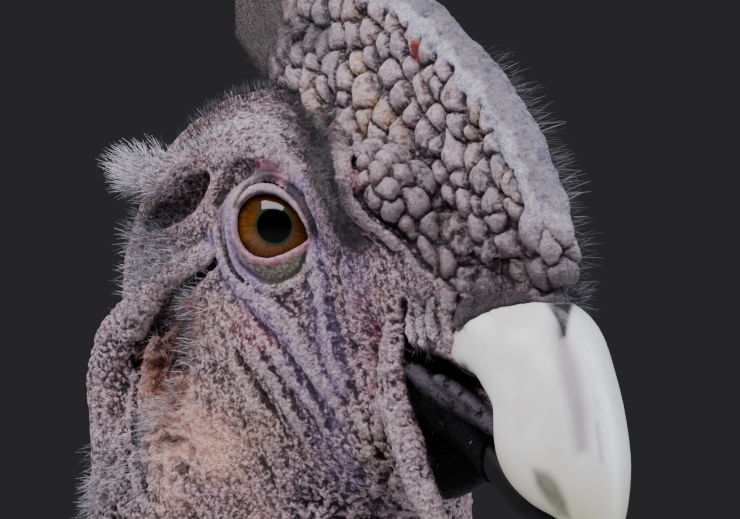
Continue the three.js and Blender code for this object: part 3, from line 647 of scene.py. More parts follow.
# Folds and hollows of the face: pixels of the photograph, radius and height over the skin in mm.
# A path with a third value gives that distance from the middle plane for the fold's own middle.
lidCrease = [(236, 204), (245, 187), (259, 180), (274, 180), (289, 187.5), (301, 200), (310, 218), (315, 234)]
nostrilFolds = [
    [(414, 298, 13.2), (412, 322, 14), (415, 345, 14)], [(423, 296, 13), (421, 320, 14), (424, 348, 14)],
    [(434, 296, 12.6), (432, 318, 13.6), (434, 340, 13.9)],
]
faceFolds = [
    {
        "path": [(150, 184), (170, 173), (201, 161), (229, 150), (258, 146), (285, 157), (303, 178)],
        "radius": 4.2,
        "high": 2.0,
    },
    {
        "path": [(241, 206), (248, 193.5), (262, 188), (278, 191), (293, 201), (304, 216), (311, 231)],
        "radius": 1.0,
        "high": 0.7,
    },
    {
        "path": [
            (218, 226), (223, 256), (238, 281), (262, 300), (282, 318), (298, 343), (312, 366), (328, 392),
            (343, 420),
        ],
        "radius": 2.3,
        "high": 1.4,
    },
    {
        "path": [
            (228, 226), (231, 246), (240, 268), (254, 284), (268, 291), (287, 287), (303, 276), (312, 252),
        ],
        "radius": 1.1,
        "high": 0.8,
    },
    {
        "path": [(313, 244), (313, 268), (320, 292), (325, 312), (328, 338), (333, 362), (344, 392)],
        "radius": 2,
        "high": 1.0,
    },
    {"path": [(247, 343), (267, 370), (290, 407), (305, 440)], "radius": 2.2, "high": 0.8},
    {"path": [(275, 340), (293, 370), (316, 407), (335, 445)], "radius": 2.0, "high": 0.8},
    {"path": [(232, 360), (248, 392), (268, 430), (280, 470)], "radius": 2.2, "high": 0.6},
    {"path": [(342, 262), (352, 300), (362, 340), (372, 380)], "radius": 2.2, "high": 0.6},
    {"path": [(216, 250), (196, 263), (175, 276), (151, 298)], "radius": 4.2, "high": 2.2},
    {
        "path": [
            (160, 292, 31), (142, 313, 31.5), (128, 334, 31), (119, 358, 30.5), (116, 390, 30),
            (118, 425, 30), (121, 460, 29.5), (124, 495, 29), (127, 530, 28),
        ],
        "radius": 4.6,
        "soft": 2.5,
    },
    {
        "path": [
            (396, 322, 14), (393, 350, 15), (392, 385, 15.2), (396, 410, 15.2), (404, 434, 15),
            (412, 460, 14.6), (421, 486, 14), (432, 512, 12.8), (444, 534, 11),
        ],
        "radius": 2.1,
        "soft": 2.2,
    },
    {"path": [(380, 400), (386, 430), (396, 462), (408, 496), (420, 525)], "radius": 2.6, "high": 1.8},
    {"path": [(362, 420), (368, 455), (380, 490), (390, 520)], "radius": 2.2, "high": 1.2},
    {"path": [(152, 400), (158, 440), (172, 480), (180, 519)], "radius": 3.2, "high": 1.2},
    {
        "path": [
            (298, 92), (316, 112), (330, 136), (340, 160), (346, 190), (362, 214), (384, 232), (404, 248),
        ],
        "radius": 2.6,
        "high": 1.2,
    },
    {
        "path": [
            (409, 366, 12), (423, 379, 12), (436, 391, 11.9), (453, 400, 11.6), (471, 410, 11.2),
            (487, 421, 10.6), (496, 430, 9.8),
        ],
        "radius": 1.9,
        "soft": 1.6,
    },
    {
        "path": [(436, 378, 12.4), (453, 389, 12.2), (471, 403, 11.7), (487, 418, 11)],
        "radius": 1.3,
        "soft": 1.4,
    },
]
faceFolds += [{"path": fold, "radius": radius, "soft": 0.5}
              for fold, radius in zip(nostrilFolds, (1.0, 0.9, 1.0))]
faceHollows = [
    {"path": [(146, 222), (160, 214), (178, 203), (194, 192), (206, 180)], "radius": 3.6, "deep": 3.6},
    {"path": [(216, 200), (226, 184), (240, 174), (252, 170)], "radius": 3.8, "deep": 3.0},
    {"path": lidCrease, "radius": 1.1, "deep": 1.15},
    {"path": [(224, 232), (228, 256), (240, 276), (256, 291), (266, 297)], "radius": 0.8, "deep": 0.7},
    {
        "path": [
            (218, 257), (206, 267), (194, 279), (181, 292), (168, 307), (152, 330), (140, 356), (134, 398),
            (138, 450), (148, 500),
        ],
        "radius": 2.4,
        "deep": 4.0,
    },
    {"path": [(180, 322), (173, 345), (165, 368), (158, 390)], "radius": 6.2, "deep": 8.0},
    {"path": [(187, 336), (187, 352), (184, 372)], "radius": 1.7, "deep": 10.0},
    {
        "path": [(250, 312), (268, 333), (285, 353), (303, 379), (320, 405), (334, 436)],
        "radius": 1.3,
        "deep": 0.9,
    },
    {"path": [(262, 352), (280, 380), (303, 420)], "radius": 1.1, "deep": 0.7},
    {"path": [(236, 350), (256, 384), (282, 424)], "radius": 1.0, "deep": 0.6},
    {"path": [(322, 262), (330, 300), (338, 340), (352, 384), (366, 420)], "radius": 1.3, "deep": 0.7},
    {"path": [(404, 300), (405, 326), (408, 350)], "radius": 1.1, "deep": 2.2},
    {
        "path": [(418, 388, 15), (425, 410, 15), (436, 436, 14), (448, 462, 13), (462, 490, 12)],
        "radius": 2.6,
    },
    {
        "path": [
            (415, 354, 15.2), (429, 369, 15), (441, 377, 14.8), (455, 389, 14.4), (469, 401, 14),
            (482, 414, 13.4),
        ],
        "radius": 1.2,
    },
    {"path": [(389, 360), (393, 400), (404, 440), (416, 480)], "radius": 1.0, "deep": 1.2},
    {"path": [(290, 92), (306, 118), (318, 142), (328, 168), (338, 196)], "radius": 2.2, "deep": 0.9},
    {
        "path": [(353, 140), (357, 170), (362, 195), (380, 218), (404, 236), (423, 258), (430, 270)],
        "radius": 1.5,
        "deep": 1.6,
    },
]

# The comb's larger lumps: pixel, half width and half height in pixels
combLumps = [
    (319, 14, 13, 11), (336, 34, 12, 13), (352, 33, 9, 15), (368, 30, 8, 15), (324, 47, 12, 13),
    (331, 68, 16, 13), (312, 62, 9, 11), (299, 55, 8, 12), (307, 80, 13, 10), (324, 84, 11, 9),
    (341, 99, 8, 7), (391, 28, 9, 9), (384, 44, 10, 8), (399, 46, 14, 9), (391, 74, 12, 13),
    (398, 92, 12, 9), (421, 88, 9, 8), (431, 73, 9, 8), (438, 86, 9, 10), (410, 112, 10, 10),
    (424, 134, 9, 16), (399, 138, 11, 15), (437, 114, 8, 12), (455, 126, 8, 12), (359, 66, 8, 12),
    (363, 92, 11, 22), (384, 115, 15, 10), (377, 133, 9, 12), (396, 152, 12, 16), (377, 170, 10, 10),
    (387, 189, 11, 10), (391, 213, 12, 12), (363, 160, 7, 8), (403, 172, 8, 12), (424, 174, 12, 17),
    (452, 158, 9, 17), (457, 178, 10, 14), (473, 158, 8, 13), (420, 204, 13, 13), (431, 224, 12, 9),
    (462, 201, 9, 10), (477, 205, 7, 9), (452, 228, 11, 9), (475, 226, 12, 9), (462, 249, 13, 9),
    (447, 264, 11, 8), (463, 282, 14, 10), (487, 257, 12, 10), (507, 244, 10, 9), (487, 284, 13, 9),
    (521, 276, 11, 10), (497, 222, 8, 10), (446, 196, 9, 9), (405, 232, 11, 9), (424, 252, 11, 8),
    (350, 12, 13, 11), (376, 8, 12, 9), (300, 28, 10, 12), (288, 8, 12, 10), (404, 16, 8, 9),
    (438, 145, 7, 10), (410, 66, 9, 8), (371, 56, 9, 7), (470, 132, 6, 9), (437, 172, 6, 12),
    (351, 204, 8, 9),
]

# The gap between the lids in the photograph, from its rear corner under the eye and back over it
lidGap = [
    (235.5, 222), (237, 236.7), (243.3, 248.8), (253, 257.3), (268.8, 260), (287, 254), (302.7, 245.5),
    (313, 237), (309, 224), (300, 212), (289, 201.5), (277, 194.5), (263, 191.5), (250, 195), (241, 204),
    (236.5, 213),
]
eye = {
    "radius": 10.5,
    "bulge": 0.55,
    "spread": 20.0,
    "turn": 55,
    "pupil": (274, 226),
    "pupilAngle": 19.0,
}
lookTurn = math.radians(eye["turn"])
eyeAxes = {
    "out": np.array((math.cos(lookTurn), 0, math.sin(lookTurn))),
    "up": np.array((0, 1.0, 0)),
    "front": np.array((math.sin(lookTurn), 0, -math.cos(lookTurn))),
}
eyeMiddle = np.array((0, 0, eye["spread"]))


# Where the ray through a pixel first meets a ball round the right eye's middle
def onEyeball(path, radius):
    middle = fromHead(eyeMiddle)
    spots = []
    for x, y in path:
        way = pictureRay(x, y)
        rel = viewSpot - middle
        b = way @ rel
        inside = b * b - (rel @ rel - (radius / 1000) ** 2)
        far = -b - math.sqrt(max(inside, 0))
        spots.append(toHead(viewSpot + way * far))
    return np.array(spots)


lidPath = onEyeball(lidGap, eye["radius"] + 1.0)
lidFlat = [((p - eyeMiddle) @ eyeAxes["front"], (p - eyeMiddle) @ eyeAxes["up"]) for p in lidPath]


def lidOpening(field, p):
    f, u, r = p
    rel = (f - eyeMiddle[0], u - eyeMiddle[1], r - eyeMiddle[2])
    along = {key: sum(c * w for c, w in zip(rel, axis)) for key, axis in eyeAxes.items()}
    far = np.sqrt(sum(c ** 2 for c in rel))
    gapEdge, _ = outlineDistance((along["front"], along["up"]), lidFlat)
    opening = np.maximum(gapEdge, 2.0 - along["out"])
    field = -blend(-field, opening, 0.6)
    return np.maximum(field, -(far - eye["radius"] - 0.12))


def limbInto(volume, fold, sign):
    spots, outs = onFace(fold["path"])
    places = np.linspace(0, len(spots) - 1, len(spots) * 3 - 2)
    spots, outs = smoothed(spots, places), smoothed(outs, places)
    taper = 1 - 0.55 * np.abs(np.linspace(-1, 1, len(places))) ** 3
    radii = fold["radius"] * taper
    lift = (fold.get("high", 0) if sign > 0 else -fold.get("deep", 0)) * taper
    middles = spots + outs * (lift - sign * radii)[:, None]
    middles[:, 2] = np.abs(middles[:, 2])
    addLimb(volume, middles, radii, fold.get("soft", 0.7 if sign > 0 else 0.6), sign)


hornBox = ((26, -50, 0), (80, 8, 20))
cereOutline = [(20, 20)] + beak["skinEdge"] + [(20, -38)]


def buildHead(grain):
    volume = headVolume(grain, skull["neckFoot"])
    # the cere: skin over the root of the horn, as far as a slanting edge
    upper = hornDistance(volume, upperHorn)
    lower = hornDistance(volume, lowerHorn)

    def cere(field, p):
        edge, _ = outlineDistance(flatOf(p), cereOutline)
        skin = -blend(-(upper[boxOf(volume, *hornBox)] - 0.9), -edge, 1.0)
        low = np.maximum(lower[boxOf(volume, *hornBox)] - 0.8, p[0] - 62)
        return blend(blend(field, skin, 1.6), low, 0.8)

    reshapeVolume(volume, *hornBox, cere)
    for fold in faceFolds:
        limbInto(volume, fold, 1)
    for fold in faceHollows:
        limbInto(volume, fold, -1)
    # the nostril runs right through the cere
    for f, u, radius in ((49.6, -7.6, 1.3), (50.5, -10.6, 1.3), (51.4, -13.4, 1.1)):
        addLimb(volume, [(f, u, 0), (f, u, 20)], [radius, radius], 0.8, -1)
    reshapeVolume(volume, (-16, -18, 2), (22, 18, 40), lidOpening)
    # lid rims round the gap
    rim = np.concatenate([lidPath, lidPath[:1]])
    rel = rim - eyeMiddle
    flat = rel - np.outer(rel @ eyeAxes["out"], eyeAxes["out"])
    flat /= np.linalg.norm(flat, axis=1, keepdims=True)
    path = eyeMiddle + rel / np.linalg.norm(rel, axis=1, keepdims=True) * (eye["radius"] + 0.85) + flat * 0.5
    addLimb(volume, path, [0.62] * len(path), 0.35)
    return volume


# Distance to a closed loft on the volume's own grid, where it is even
def hornDistance(volume, horn):
    f, u, _ = volume["lines"]
    grain = f[1] - f[0]
    points, walls, ends = horn
    index = np.stack([(points[:, 0] - f[0]), (points[:, 1] - u[-1]), points[:, 2]], -1) / grain
    reach = 8
    grid = openvdb.FloatGrid.createLevelSetFromPolygons(
        index.astype(np.float32), triangles=ends.astype(np.uint32), quads=walls.astype(np.uint32),
        transform=openvdb.createLinearTransform(1.0), halfWidth=reach)
    field = np.empty(volume["field"].shape, np.float32)
    grid.copyToArray(field, ijk=(0, -(len(u) - 1), 0))
    return field * grain


headVolumeFine = mirrorVolume(buildHead(0.45))
headPoints, headQuads = surfaceOf(headVolumeFine)
print("head surface", len(headPoints))


# Skin detail on the points: creases, pebbles and wrinkles, and marks that the skin's colours follow
def spotShare(points, path, reach, trees=(carrier,), mirror=True):
    spots, _ = onFace(path, trees)
    p = points.copy()
    if mirror:
        spots[:, 2] = np.abs(spots[:, 2])
        p[:, 2] = np.abs(p[:, 2])
    near = np.full(len(p), 1e9)
    pairs = list(zip(spots, spots[1:])) or [(spots[0], spots[0])]
    for a, b in pairs:
        way = b - a
        part = np.clip((p - a) @ way / max(way @ way, 1e-9), 0, 1)
        near = np.minimum(near, np.linalg.norm(p - a - part[:, None] * way, axis=1))
    return np.exp(-(near / reach) ** 2)


# Marks on the face: pixels of the photograph, reach in mm and strength
faceMarks = {
    "lilac": [
        ([(232, 222), (234, 250), (247, 275), (262, 292)], 2.2, 1.0),
        ([(300, 180), (314, 215), (318, 240)], 2.4, 0.8),
        ([(214, 240), (236, 283), (272, 318), (300, 355), (330, 400)], 2.6, 1.0),
        ([(322, 250), (318, 290), (328, 335), (340, 390)], 3.4, 0.9), ([(340, 240), (356, 285)], 5, 0.6),
        ([(290, 350), (330, 420), (350, 480)], 5, 0.7),
        ([(248, 186), (265, 183), (285, 188), (300, 205)], 1.2, 0.9), ([(230, 190), (225, 215)], 2.5, 0.6),
    ],
    "rosy": [
        ([(250, 163), (263, 167), (277, 175)], 1.1, 2.0),
        ([(235.5, 226), (241, 250), (256, 261), (274, 262.5), (294, 253), (311, 242)], 0.8, 1.0),
        ([(237, 208), (246, 195), (262, 187), (280, 190.5), (297, 202), (309, 221)], 0.9, 0.6),
        ([(245, 325), (262, 345)], 4, 0.5), ([(385, 330), (388, 390)], 4.5, 0.6),
        ([(170, 395), (200, 430)], 7, 0.45), ([(355, 160), (358, 190)], 1.6, 0.8), ([(360, 300)], 5, 0.4),
        ([(192, 158), (200, 156)], 1.6, 0.9),
    ],
    "salmon": [
        ([(165, 385), (174, 410), (170, 440)], 6.5, 1.5), ([(185, 420), (215, 450)], 7, 0.9),
        ([(160, 460), (175, 500)], 5, 0.6), ([(391, 350), (392, 400)], 2.4, 0.6),
        ([(225, 480), (260, 510)], 5, 0.3),
    ],
    # dark patches of skin on the brow and cere, and painted shade in the hollows and creases, round the lids
    # and by the ear
    "dusk": [
        ([(160, 212), (178, 202), (196, 188)], 2.4, 1.2),
        ([(312, 126), (324, 160), (338, 199), (350, 235)], 4.4, 1.6), ([(283, 92), (300, 130)], 4, 0.9),
        ([(136, 300), (120, 360), (108, 420)], 4, 0.55), ([(208, 262), (168, 307), (140, 356)], 1.6, 1.2),
        ([(186, 335), (185, 370)], 1.6, 1.2), ([(150, 240), (180, 235)], 5, 0.45), (lidCrease, 1.1, 1.6),
        ([(222, 240), (229, 262), (241, 279), (255, 292)], 0.7, 1.0),
        ([(228, 236), (233, 252), (244, 266)], 0.5, 0.9),
        ([(239, 208), (249, 196.5), (262, 192), (278, 194.5), (293, 204.5), (305, 219)], 0.6, 1.0),
        ([(220, 197), (234, 181), (252, 172), (270, 173)], 3.2, 1.0), ([(400, 250), (425, 280)], 3, 0.5),
        ([(430, 306), (448, 345)], 4, 0.9), ([(404, 300), (406, 330), (411, 352)], 0.9, 1.5),
        ([(446, 300), (468, 318)], 1.6, 1.2), ([(380, 440), (410, 519)], 4, 0.5),
        ([(226, 0), (240, 40), (270, 65)], 6, 0.9),
    ],
    "pale": [
        ([(112, 176), (132, 172), (150, 177)], 3.4, 1.3),
        ([(195, 150), (225, 128), (262, 125), (285, 140)], 4.0, 0.9),
        ([(150, 255), (130, 300), (112, 330)], 3.2, 0.6), ([(325, 250), (318, 290)], 2.0, 0.6),
        ([(300, 70), (330, 20)], 4, 0.3), (nostrilFolds[0], 1.1, 1.6), (nostrilFolds[1], 1.1, 1.6),
        (nostrilFolds[2], 1.1, 1.4), ([(446, 318, 13), (462, 308, 12.6)], 0.9, 1.2),
        ([(447, 330, 13.2), (464, 318, 12.6)], 0.8, 1.0),
    ],
    "tan": [
        ([(300, 92), (322, 115), (336, 141), (345, 170)], 2.2, 0.7),
        ([(358, 60), (362, 90), (365, 130)], 2.4, 1.0), ([(375, 104), (392, 122)], 2.2, 0.9),
        ([(330, 400), (370, 440)], 6, 0.4), ([(235, 380), (250, 430)], 8, 0.6),
        ([(200, 300), (215, 340)], 6, 0.5),
    ],
    "moss": [
        ([(243, 270), (260, 281), (284, 277), (300, 264)], 2.3, 1.7), ([(165, 330), (180, 305)], 2.5, 0.4),
        ([(255, 174), (275, 173)], 1.0, 0.6),
    ],
    "rust": [([(178, 324), (170, 348), (162, 372)], 6.8, 1.7)],
    "scab": [([(417, 48), (418, 54)], 1.3, 2.0)],
    "lip": [
        (
            [
                (409, 366, 13.2), (423, 379, 13.2), (436, 391, 13), (453, 400, 12.6), (471, 410, 12.1),
                (487, 421, 11.4), (496, 430, 10.6),
            ],
            1.5, 1.4,
        ),
        ([(436, 378, 13.4), (453, 389, 13.2), (471, 403, 12.6), (487, 418, 11.8)], 1.0, 1.1),
    ],
}
# The comb's near side, as an outline in pixels of the photograph
combOutline = [
    (226, 0), (230, 22), (249, 51), (290, 73), (314, 88), (338, 112), (350, 140), (352, 170), (353, 194),
    (375, 218), (404, 233), (421, 254), (433, 279), (448, 288), (523, 293), (559, 298), (600, 300),
    (640, -260), (226, -260),
]
# The dark skin of the gape, as an outline in pixels of the photograph
gape = {
    "outline": [
        (404, 338), (413, 347), (426, 351), (440, 355), (452, 360), (463, 369), (476, 388), (488, 405),
        (503, 424), (520, 470), (512, 545), (462, 545), (447, 510), (437, 484), (428, 452), (421, 430),
        (412, 410), (407, 387), (404, 360),
    ],
    "behind": 28,
}


# Curled folds: pixels of the photograph, reach in mm and strength
curls = [
    ([(399, 318, 14), (397, 350, 15), (398, 385, 15.2), (403, 412, 15), (412, 440, 14.6)], 3.2, 0.8),
    ([(404, 405), (412, 432), (424, 462), (436, 492), (446, 519)], 6, 1.5),
    ([(385, 440), (400, 480), (412, 519)], 6, 1.2),
    ([(128, 334), (117, 370), (112, 420), (110, 470), (114, 519)], 6, 1.3),
    ([(112, 178), (132, 172), (160, 176)], 6, 1.0), ([(165, 395), (180, 430), (178, 480)], 8, 0.8),
]


def smoothStep(x, low, high):
    t = np.clip((x - low) / (high - low), 0, 1)
    return t * t * (3 - 2 * t)


# Each point's mean of the points it is joined to, many times over
def relaxed(points, quads, times):
    a = quads.ravel()
    b = np.roll(quads, -1, 1).ravel()
    weight = np.bincount(a, minlength=len(points)) + np.bincount(b, minlength=len(points))
    weight = np.maximum(weight, 1)[:, None]
    for _ in range(times):
        sums = [np.bincount(a, points[b, k], len(points)) + np.bincount(b, points[a, k], len(points))
                for k in range(3)]
        points = np.stack(sums, -1) / weight
    return points


# How far each point lies in a hollow, from -1 on a ridge to 1
def hollowness(points, quads, normals, times, full):
    return np.clip(np.einsum("ij,ij->i", relaxed(points, quads, times) - points, normals) / full, -1, 1)


# Noise drawn out along a way that turns from place to place
def streakNoise(p, ways, scale, reach, salt, layers=2):
    steps = np.linspace(-reach, reach, 5)
    return sum(valueNoise(p + ways * s, scale, salt, layers) for s in steps) / 5 * 1.9


# The lumps of the comb: those read from the photograph, and smaller ones where those leave room
def combSeeds(points, share):
    spots, _ = onFace([(x, y) for x, y, _, _ in combLumps])
    pixelsPerMm = 4.9
    seeds = [np.array((f, u, abs(r), (wide + tall) / 2 / pixelsPerMm))
             for (f, u, r), (_, _, wide, tall) in zip(spots, combLumps)]
    draw = np.random.default_rng(3)
    candidates = points[(share > 0.5) & (points[:, 2] >= 0)]
    for spot in candidates[draw.permutation(len(candidates))[:5000]]:
        known = np.array(seeds)
        size = draw.uniform(2.2, 3.3)
        if np.min(np.linalg.norm(known[:, :3] - spot, axis=1) / (known[:, 3] + size)) > 0.95:
            seeds.append(np.array((*spot, size)))
    return np.array(seeds)


def lumpPattern(p, seeds):
    q = p.copy()
    q[:, 2] = np.abs(q[:, 2])
    q += np.stack([valueNoise(p, 3.4, 81 + k, 2) for k in range(3)], -1) * 1.3
    first, second, mark = np.full(len(p), 9.0), np.full(len(p), 9.0), np.zeros(len(p))
    for k, (f, u, r, size) in enumerate(seeds):
        along = (q[:, 0] - f) * 0.62 - (q[:, 1] - u) * 0.78
        stretch = 0.42 + 0.34 * ((k * 0.37) % 1)
        square = (q[:, 0] - f) ** 2 + (q[:, 1] - u) ** 2 + (q[:, 2] - r) ** 2
        far = np.sqrt(square - stretch * along ** 2) / size
        nearer = far < first
        second = np.where(nearer, first, np.minimum(second, far))
        mark = np.where(nearer, (k * 0.618) % 1, mark)
        first = np.where(nearer, far, first)
    return first, second, mark


# Heights of the skin's relief in mm
skinRelief = {
    "coarse": 0.3,
    "fine": 0.24,
    "pebble": 0.36,
    "grit": 0.24,
    "neck": 0.9,
    "curl": 0.95,
    "curlPebble": 0.3,
    "lump": 2.7,
    "wrinkle": 0.2,
    "lumpGrit": 0.16,
}


def detailHead(points, quads):
    p = points.copy()
    normals = normalsOf(p, quads)
    marks = {key: np.zeros(len(p)) for key in faceMarks}
    for key, spots in faceMarks.items():
        for path, reach, strength in spots:
            marks[key] = np.maximum(marks[key], strength * spotShare(p, path, reach))
    f, u, r = p[:, 0], p[:, 1], np.abs(p[:, 2])
    edge, half = combField(f, u)
    toRidge, _ = outlineDistance((f, u), combShape["ridge"], closed=False)
    x, y = inPicture(fromHead(np.stack([f, u, r], -1)))
    inOutline, _ = outlineDistance((x, y), combOutline)
    onComb = smoothStep(-edge, -2.5, 1.5) * smoothStep(half + 3.5 - r, 0, 2)
    inView = smoothStep(-inOutline, -3, 4) * smoothStep(f, -6, 4) * smoothStep(28 - r, 0, 2)
    onComb = np.maximum(onComb, inView)
    keelEdge = 5.6 + valueNoise(p, 6, 61, 3) * 2.4
    keel = smoothStep(keelEdge - toRidge, 0, 1.8) * smoothStep(f, -16, 10) * smoothStep(u, 2, 18) * onComb
    ridgeTop = smoothStep(2.3 + valueNoise(p, 4, 67, 2) - toRidge, -0.4, 1.2) * keel
    lobe = smoothStep(-f, 20, 31) * onComb
    fromEye = np.linalg.norm(np.stack([f - 2, u, r - 22], -1), axis=1)
    neckShare = smoothStep(-u, 52, 75)
    # the bare black skin inside the gape and under the bill, darkened further as painted deep shade
    inGape, _ = outlineDistance((x, y), gape["outline"])
    soot = smoothStep(-inGape, -6, 3) * smoothStep(f, gape["behind"], gape["behind"] + 5) * (1 - onComb)
    soot = np.maximum(soot, smoothStep(f, 34, 42) * smoothStep(-u, 34, 38) * smoothStep(12 - r, 0, 3))
    # ways in which the skin is drawn out: down the cheek, round the eye, along the brow, round the neck
    ringWay = np.stack([-u, f - 2, np.zeros(len(p))], -1)
    ringWay /= np.maximum(np.linalg.norm(ringWay, axis=1, keepdims=True), 1e-6)
    level = np.cross(np.array((0, 1.0, 0)), normals)
    ways = np.array((0.5, -0.86, 0.0)) * np.ones((len(p), 1))
    for way, share in (((0.3, -0.9, 0), smoothStep(-f, 14, 24)), ((1, 0.15, 0), smoothStep(u, 8, 15)),
                       (ringWay, smoothStep(26 - fromEye, 0, 9)), (level, neckShare)):
        ways = ways * (1 - share[:, None]) + np.asarray(way) * share[:, None]
    ways = ways - normals * np.einsum("ij,ij->i", ways, normals)[:, None]
    ways /= np.maximum(np.linalg.norm(ways, axis=1, keepdims=True), 1e-6)
    warp = np.stack([valueNoise(p, 8, 41 + k, 2) for k in range(3)], -1) * 1.6
    coarse = 1 - np.abs(streakNoise(p + warp, ways, 4.2, 5.5, 51)) * 2.3
    fine = 1 - np.abs(streakNoise(p + warp, ways, 2.0, 2.4, 57)) * 2.2
    grit = valueNoise(p, 1.7, 31, 2)
    nearest, second, mark = cellNoise(p + warp * 0.6, 1.7, 2)
    pebble = smoothStep(second - nearest, 0.0, 0.4) - 0.6
    cheekPatch = np.clip(valueNoise(p, 13, 21, 2) * 1.6 + 0.6, 0, 1) * smoothStep(-u, 2, 20)
    backPatch = smoothStep(-f, 4, 16)
    pebbleShare = np.clip(cheekPatch * (0.35 + 0.65 * backPatch) + 0.25, 0, 1)
    bare = (1 - onComb) * (1 - 0.8 * soot)
    quiet = 1 - 0.78 * smoothStep(14.6 - fromEye, 0, 2.4)
    coarse, fine = np.clip(coarse, -1, 1), np.clip(fine, -1, 1)
    high = skinRelief
    lift = bare * quiet * (coarse * high["coarse"] * (1 - 0.5 * pebbleShare) + fine * high["fine"]
                           + pebble * high["pebble"] * pebbleShare + grit * high["grit"])
    lift += bare * neckShare * coarse * high["neck"]
    # curled warty folds along the cheek's front edge and behind the ear, and warts on the knob
    curled = np.zeros(len(p))
    for path, reach, strength in curls:
        curled = np.maximum(curled, strength * spotShare(p, path, reach))
    curl = 1 - np.abs(valueNoise(p + warp * 1.6, 4.4, 91, 2)) * 3.6
    lift += bare * curled * (np.clip(curl, -1, 1) * high["curl"] + pebble * high["curlPebble"])
    seeds = combSeeds(p, onComb * (1 - keel) * (1 - lobe))
    lumpOne, lumpTwo, lumpMark = lumpPattern(p, seeds)
    crease = smoothStep(lumpTwo - lumpOne, -0.04, 0.3)
    dome = crease * 0.35 + 0.65 * np.clip(1 - lumpOne ** 2 * 0.8, 0, 1)
    wrinkle = 1 - np.abs(streakNoise(p + warp, ways * 0 + np.array((0.78, 0.62, 0)), 2.4, 2.6, 77)) * 2.4
    onLumps = onComb * (1 - keel) * (1 - 0.75 * lobe)
    lift += onLumps * ((dome - 0.45) * high["lump"] + np.clip(wrinkle, -1, 1) * high["wrinkle"]
                       + grit * high["lumpGrit"])
    lift += onComb * keel * (0.55 + valueNoise(p, 7, 63, 3) * 0.6)
    lift += ridgeTop * valueNoise(p, 3.0, 69, 3) * 0.9
    moved = p + normals * lift[:, None]
    normals = normalsOf(moved, quads)
    tight = hollowness(moved, quads, normals, 5, 0.16)
    wide = hollowness(moved, quads, normals, 45, 0.75)
    marks |= {"comb": onComb, "keel": keel, "lobe": lobe, "soot": soot, "smooth": 1 - quiet,
              "neck": neckShare}
    # how hollow each point is, for painted shade in hollows and a painted highlight on ridges
    marks["hollow"] = np.clip(0.5 + 0.34 * tight + 0.3 * wide, 0, 1)
    marks["lump"] = np.where(onComb > 0.4, lumpMark, mark)
    # painted shade on the skin under the comb's foot above the horn, and painted shade on the comb's low
    # front and foot; the comb is also darker along its ridge top
    overHorn = smoothStep(f, 46, 51) * (1 - onComb) * smoothStep(u, -16, -9) * 1.3
    marks["dusk"] = np.maximum(marks["dusk"], overHorn)
    front = smoothStep(-u, -14, 2) * smoothStep(f, 40, 56)
    low = onComb * np.maximum(front, 0.7 * smoothStep(-u, -26, -4))
    marks["overhang"] = np.maximum(low, 0.75 * ridgeTop) * (1 - 0.6 * keel * (1 - ridgeTop))
    return moved, marks


headPoints, headMarks = detailHead(headPoints, headQuads)
print("head detailed")

# Bare skin: slack, warty and dry, with a soft waxy gloss that is stronger on the comb
skinLook = {
    "base": ("#42323a", "#7f606d", "#b6939b"), "warm": "#9c7863", "speck": "#dcc2c8", "pit": "#1c1316",
    # the near-black mark is dark skin and painted shade in hollows and creases
    "lilac": "#8e72a0", "rosy": "#a04262", "salmon": "#efb9a4", "dusk": "#120e10",
    "pale": "#c9bcc6", "tan": "#a5805c",
    "moss": "#77745a", "rust": "#7c4020", "scab": "#8e2f24", "lip": "#57505a",
    "comb": ("#251b1f", "#5f4c53", "#957f85", "#6c4f44"), "keel": "#b0aec2", "lobe": "#30261f",
    # painted shade on the comb's low front and foot, also used for the keel's dark mottles
    "overhang": "#30252a",
    # near-black gape skin with painted deep shade, painted shade for creases, painted highlight for ridges
    "soot": "#050405", "crease": "#100a0c", "crest": "#d2bdbf", "neck": "#7a5650", "leg": "#77706c",
    "hide": "#1c1a1b",
    "poreMm": 0.5, "grainMm": 1.1, "cellMm": 1.15, "roughness": (0.32, 0.55),
    # marks laid over the flecks, with the share of each
    "late": {"salmon": 0.62, "lilac": 0.25, "rosy": 0.3, "rust": 0.85, "dusk": 0.88, "lobe": 0.9,
             "overhang": 0.8, "scab": 0.9},
}


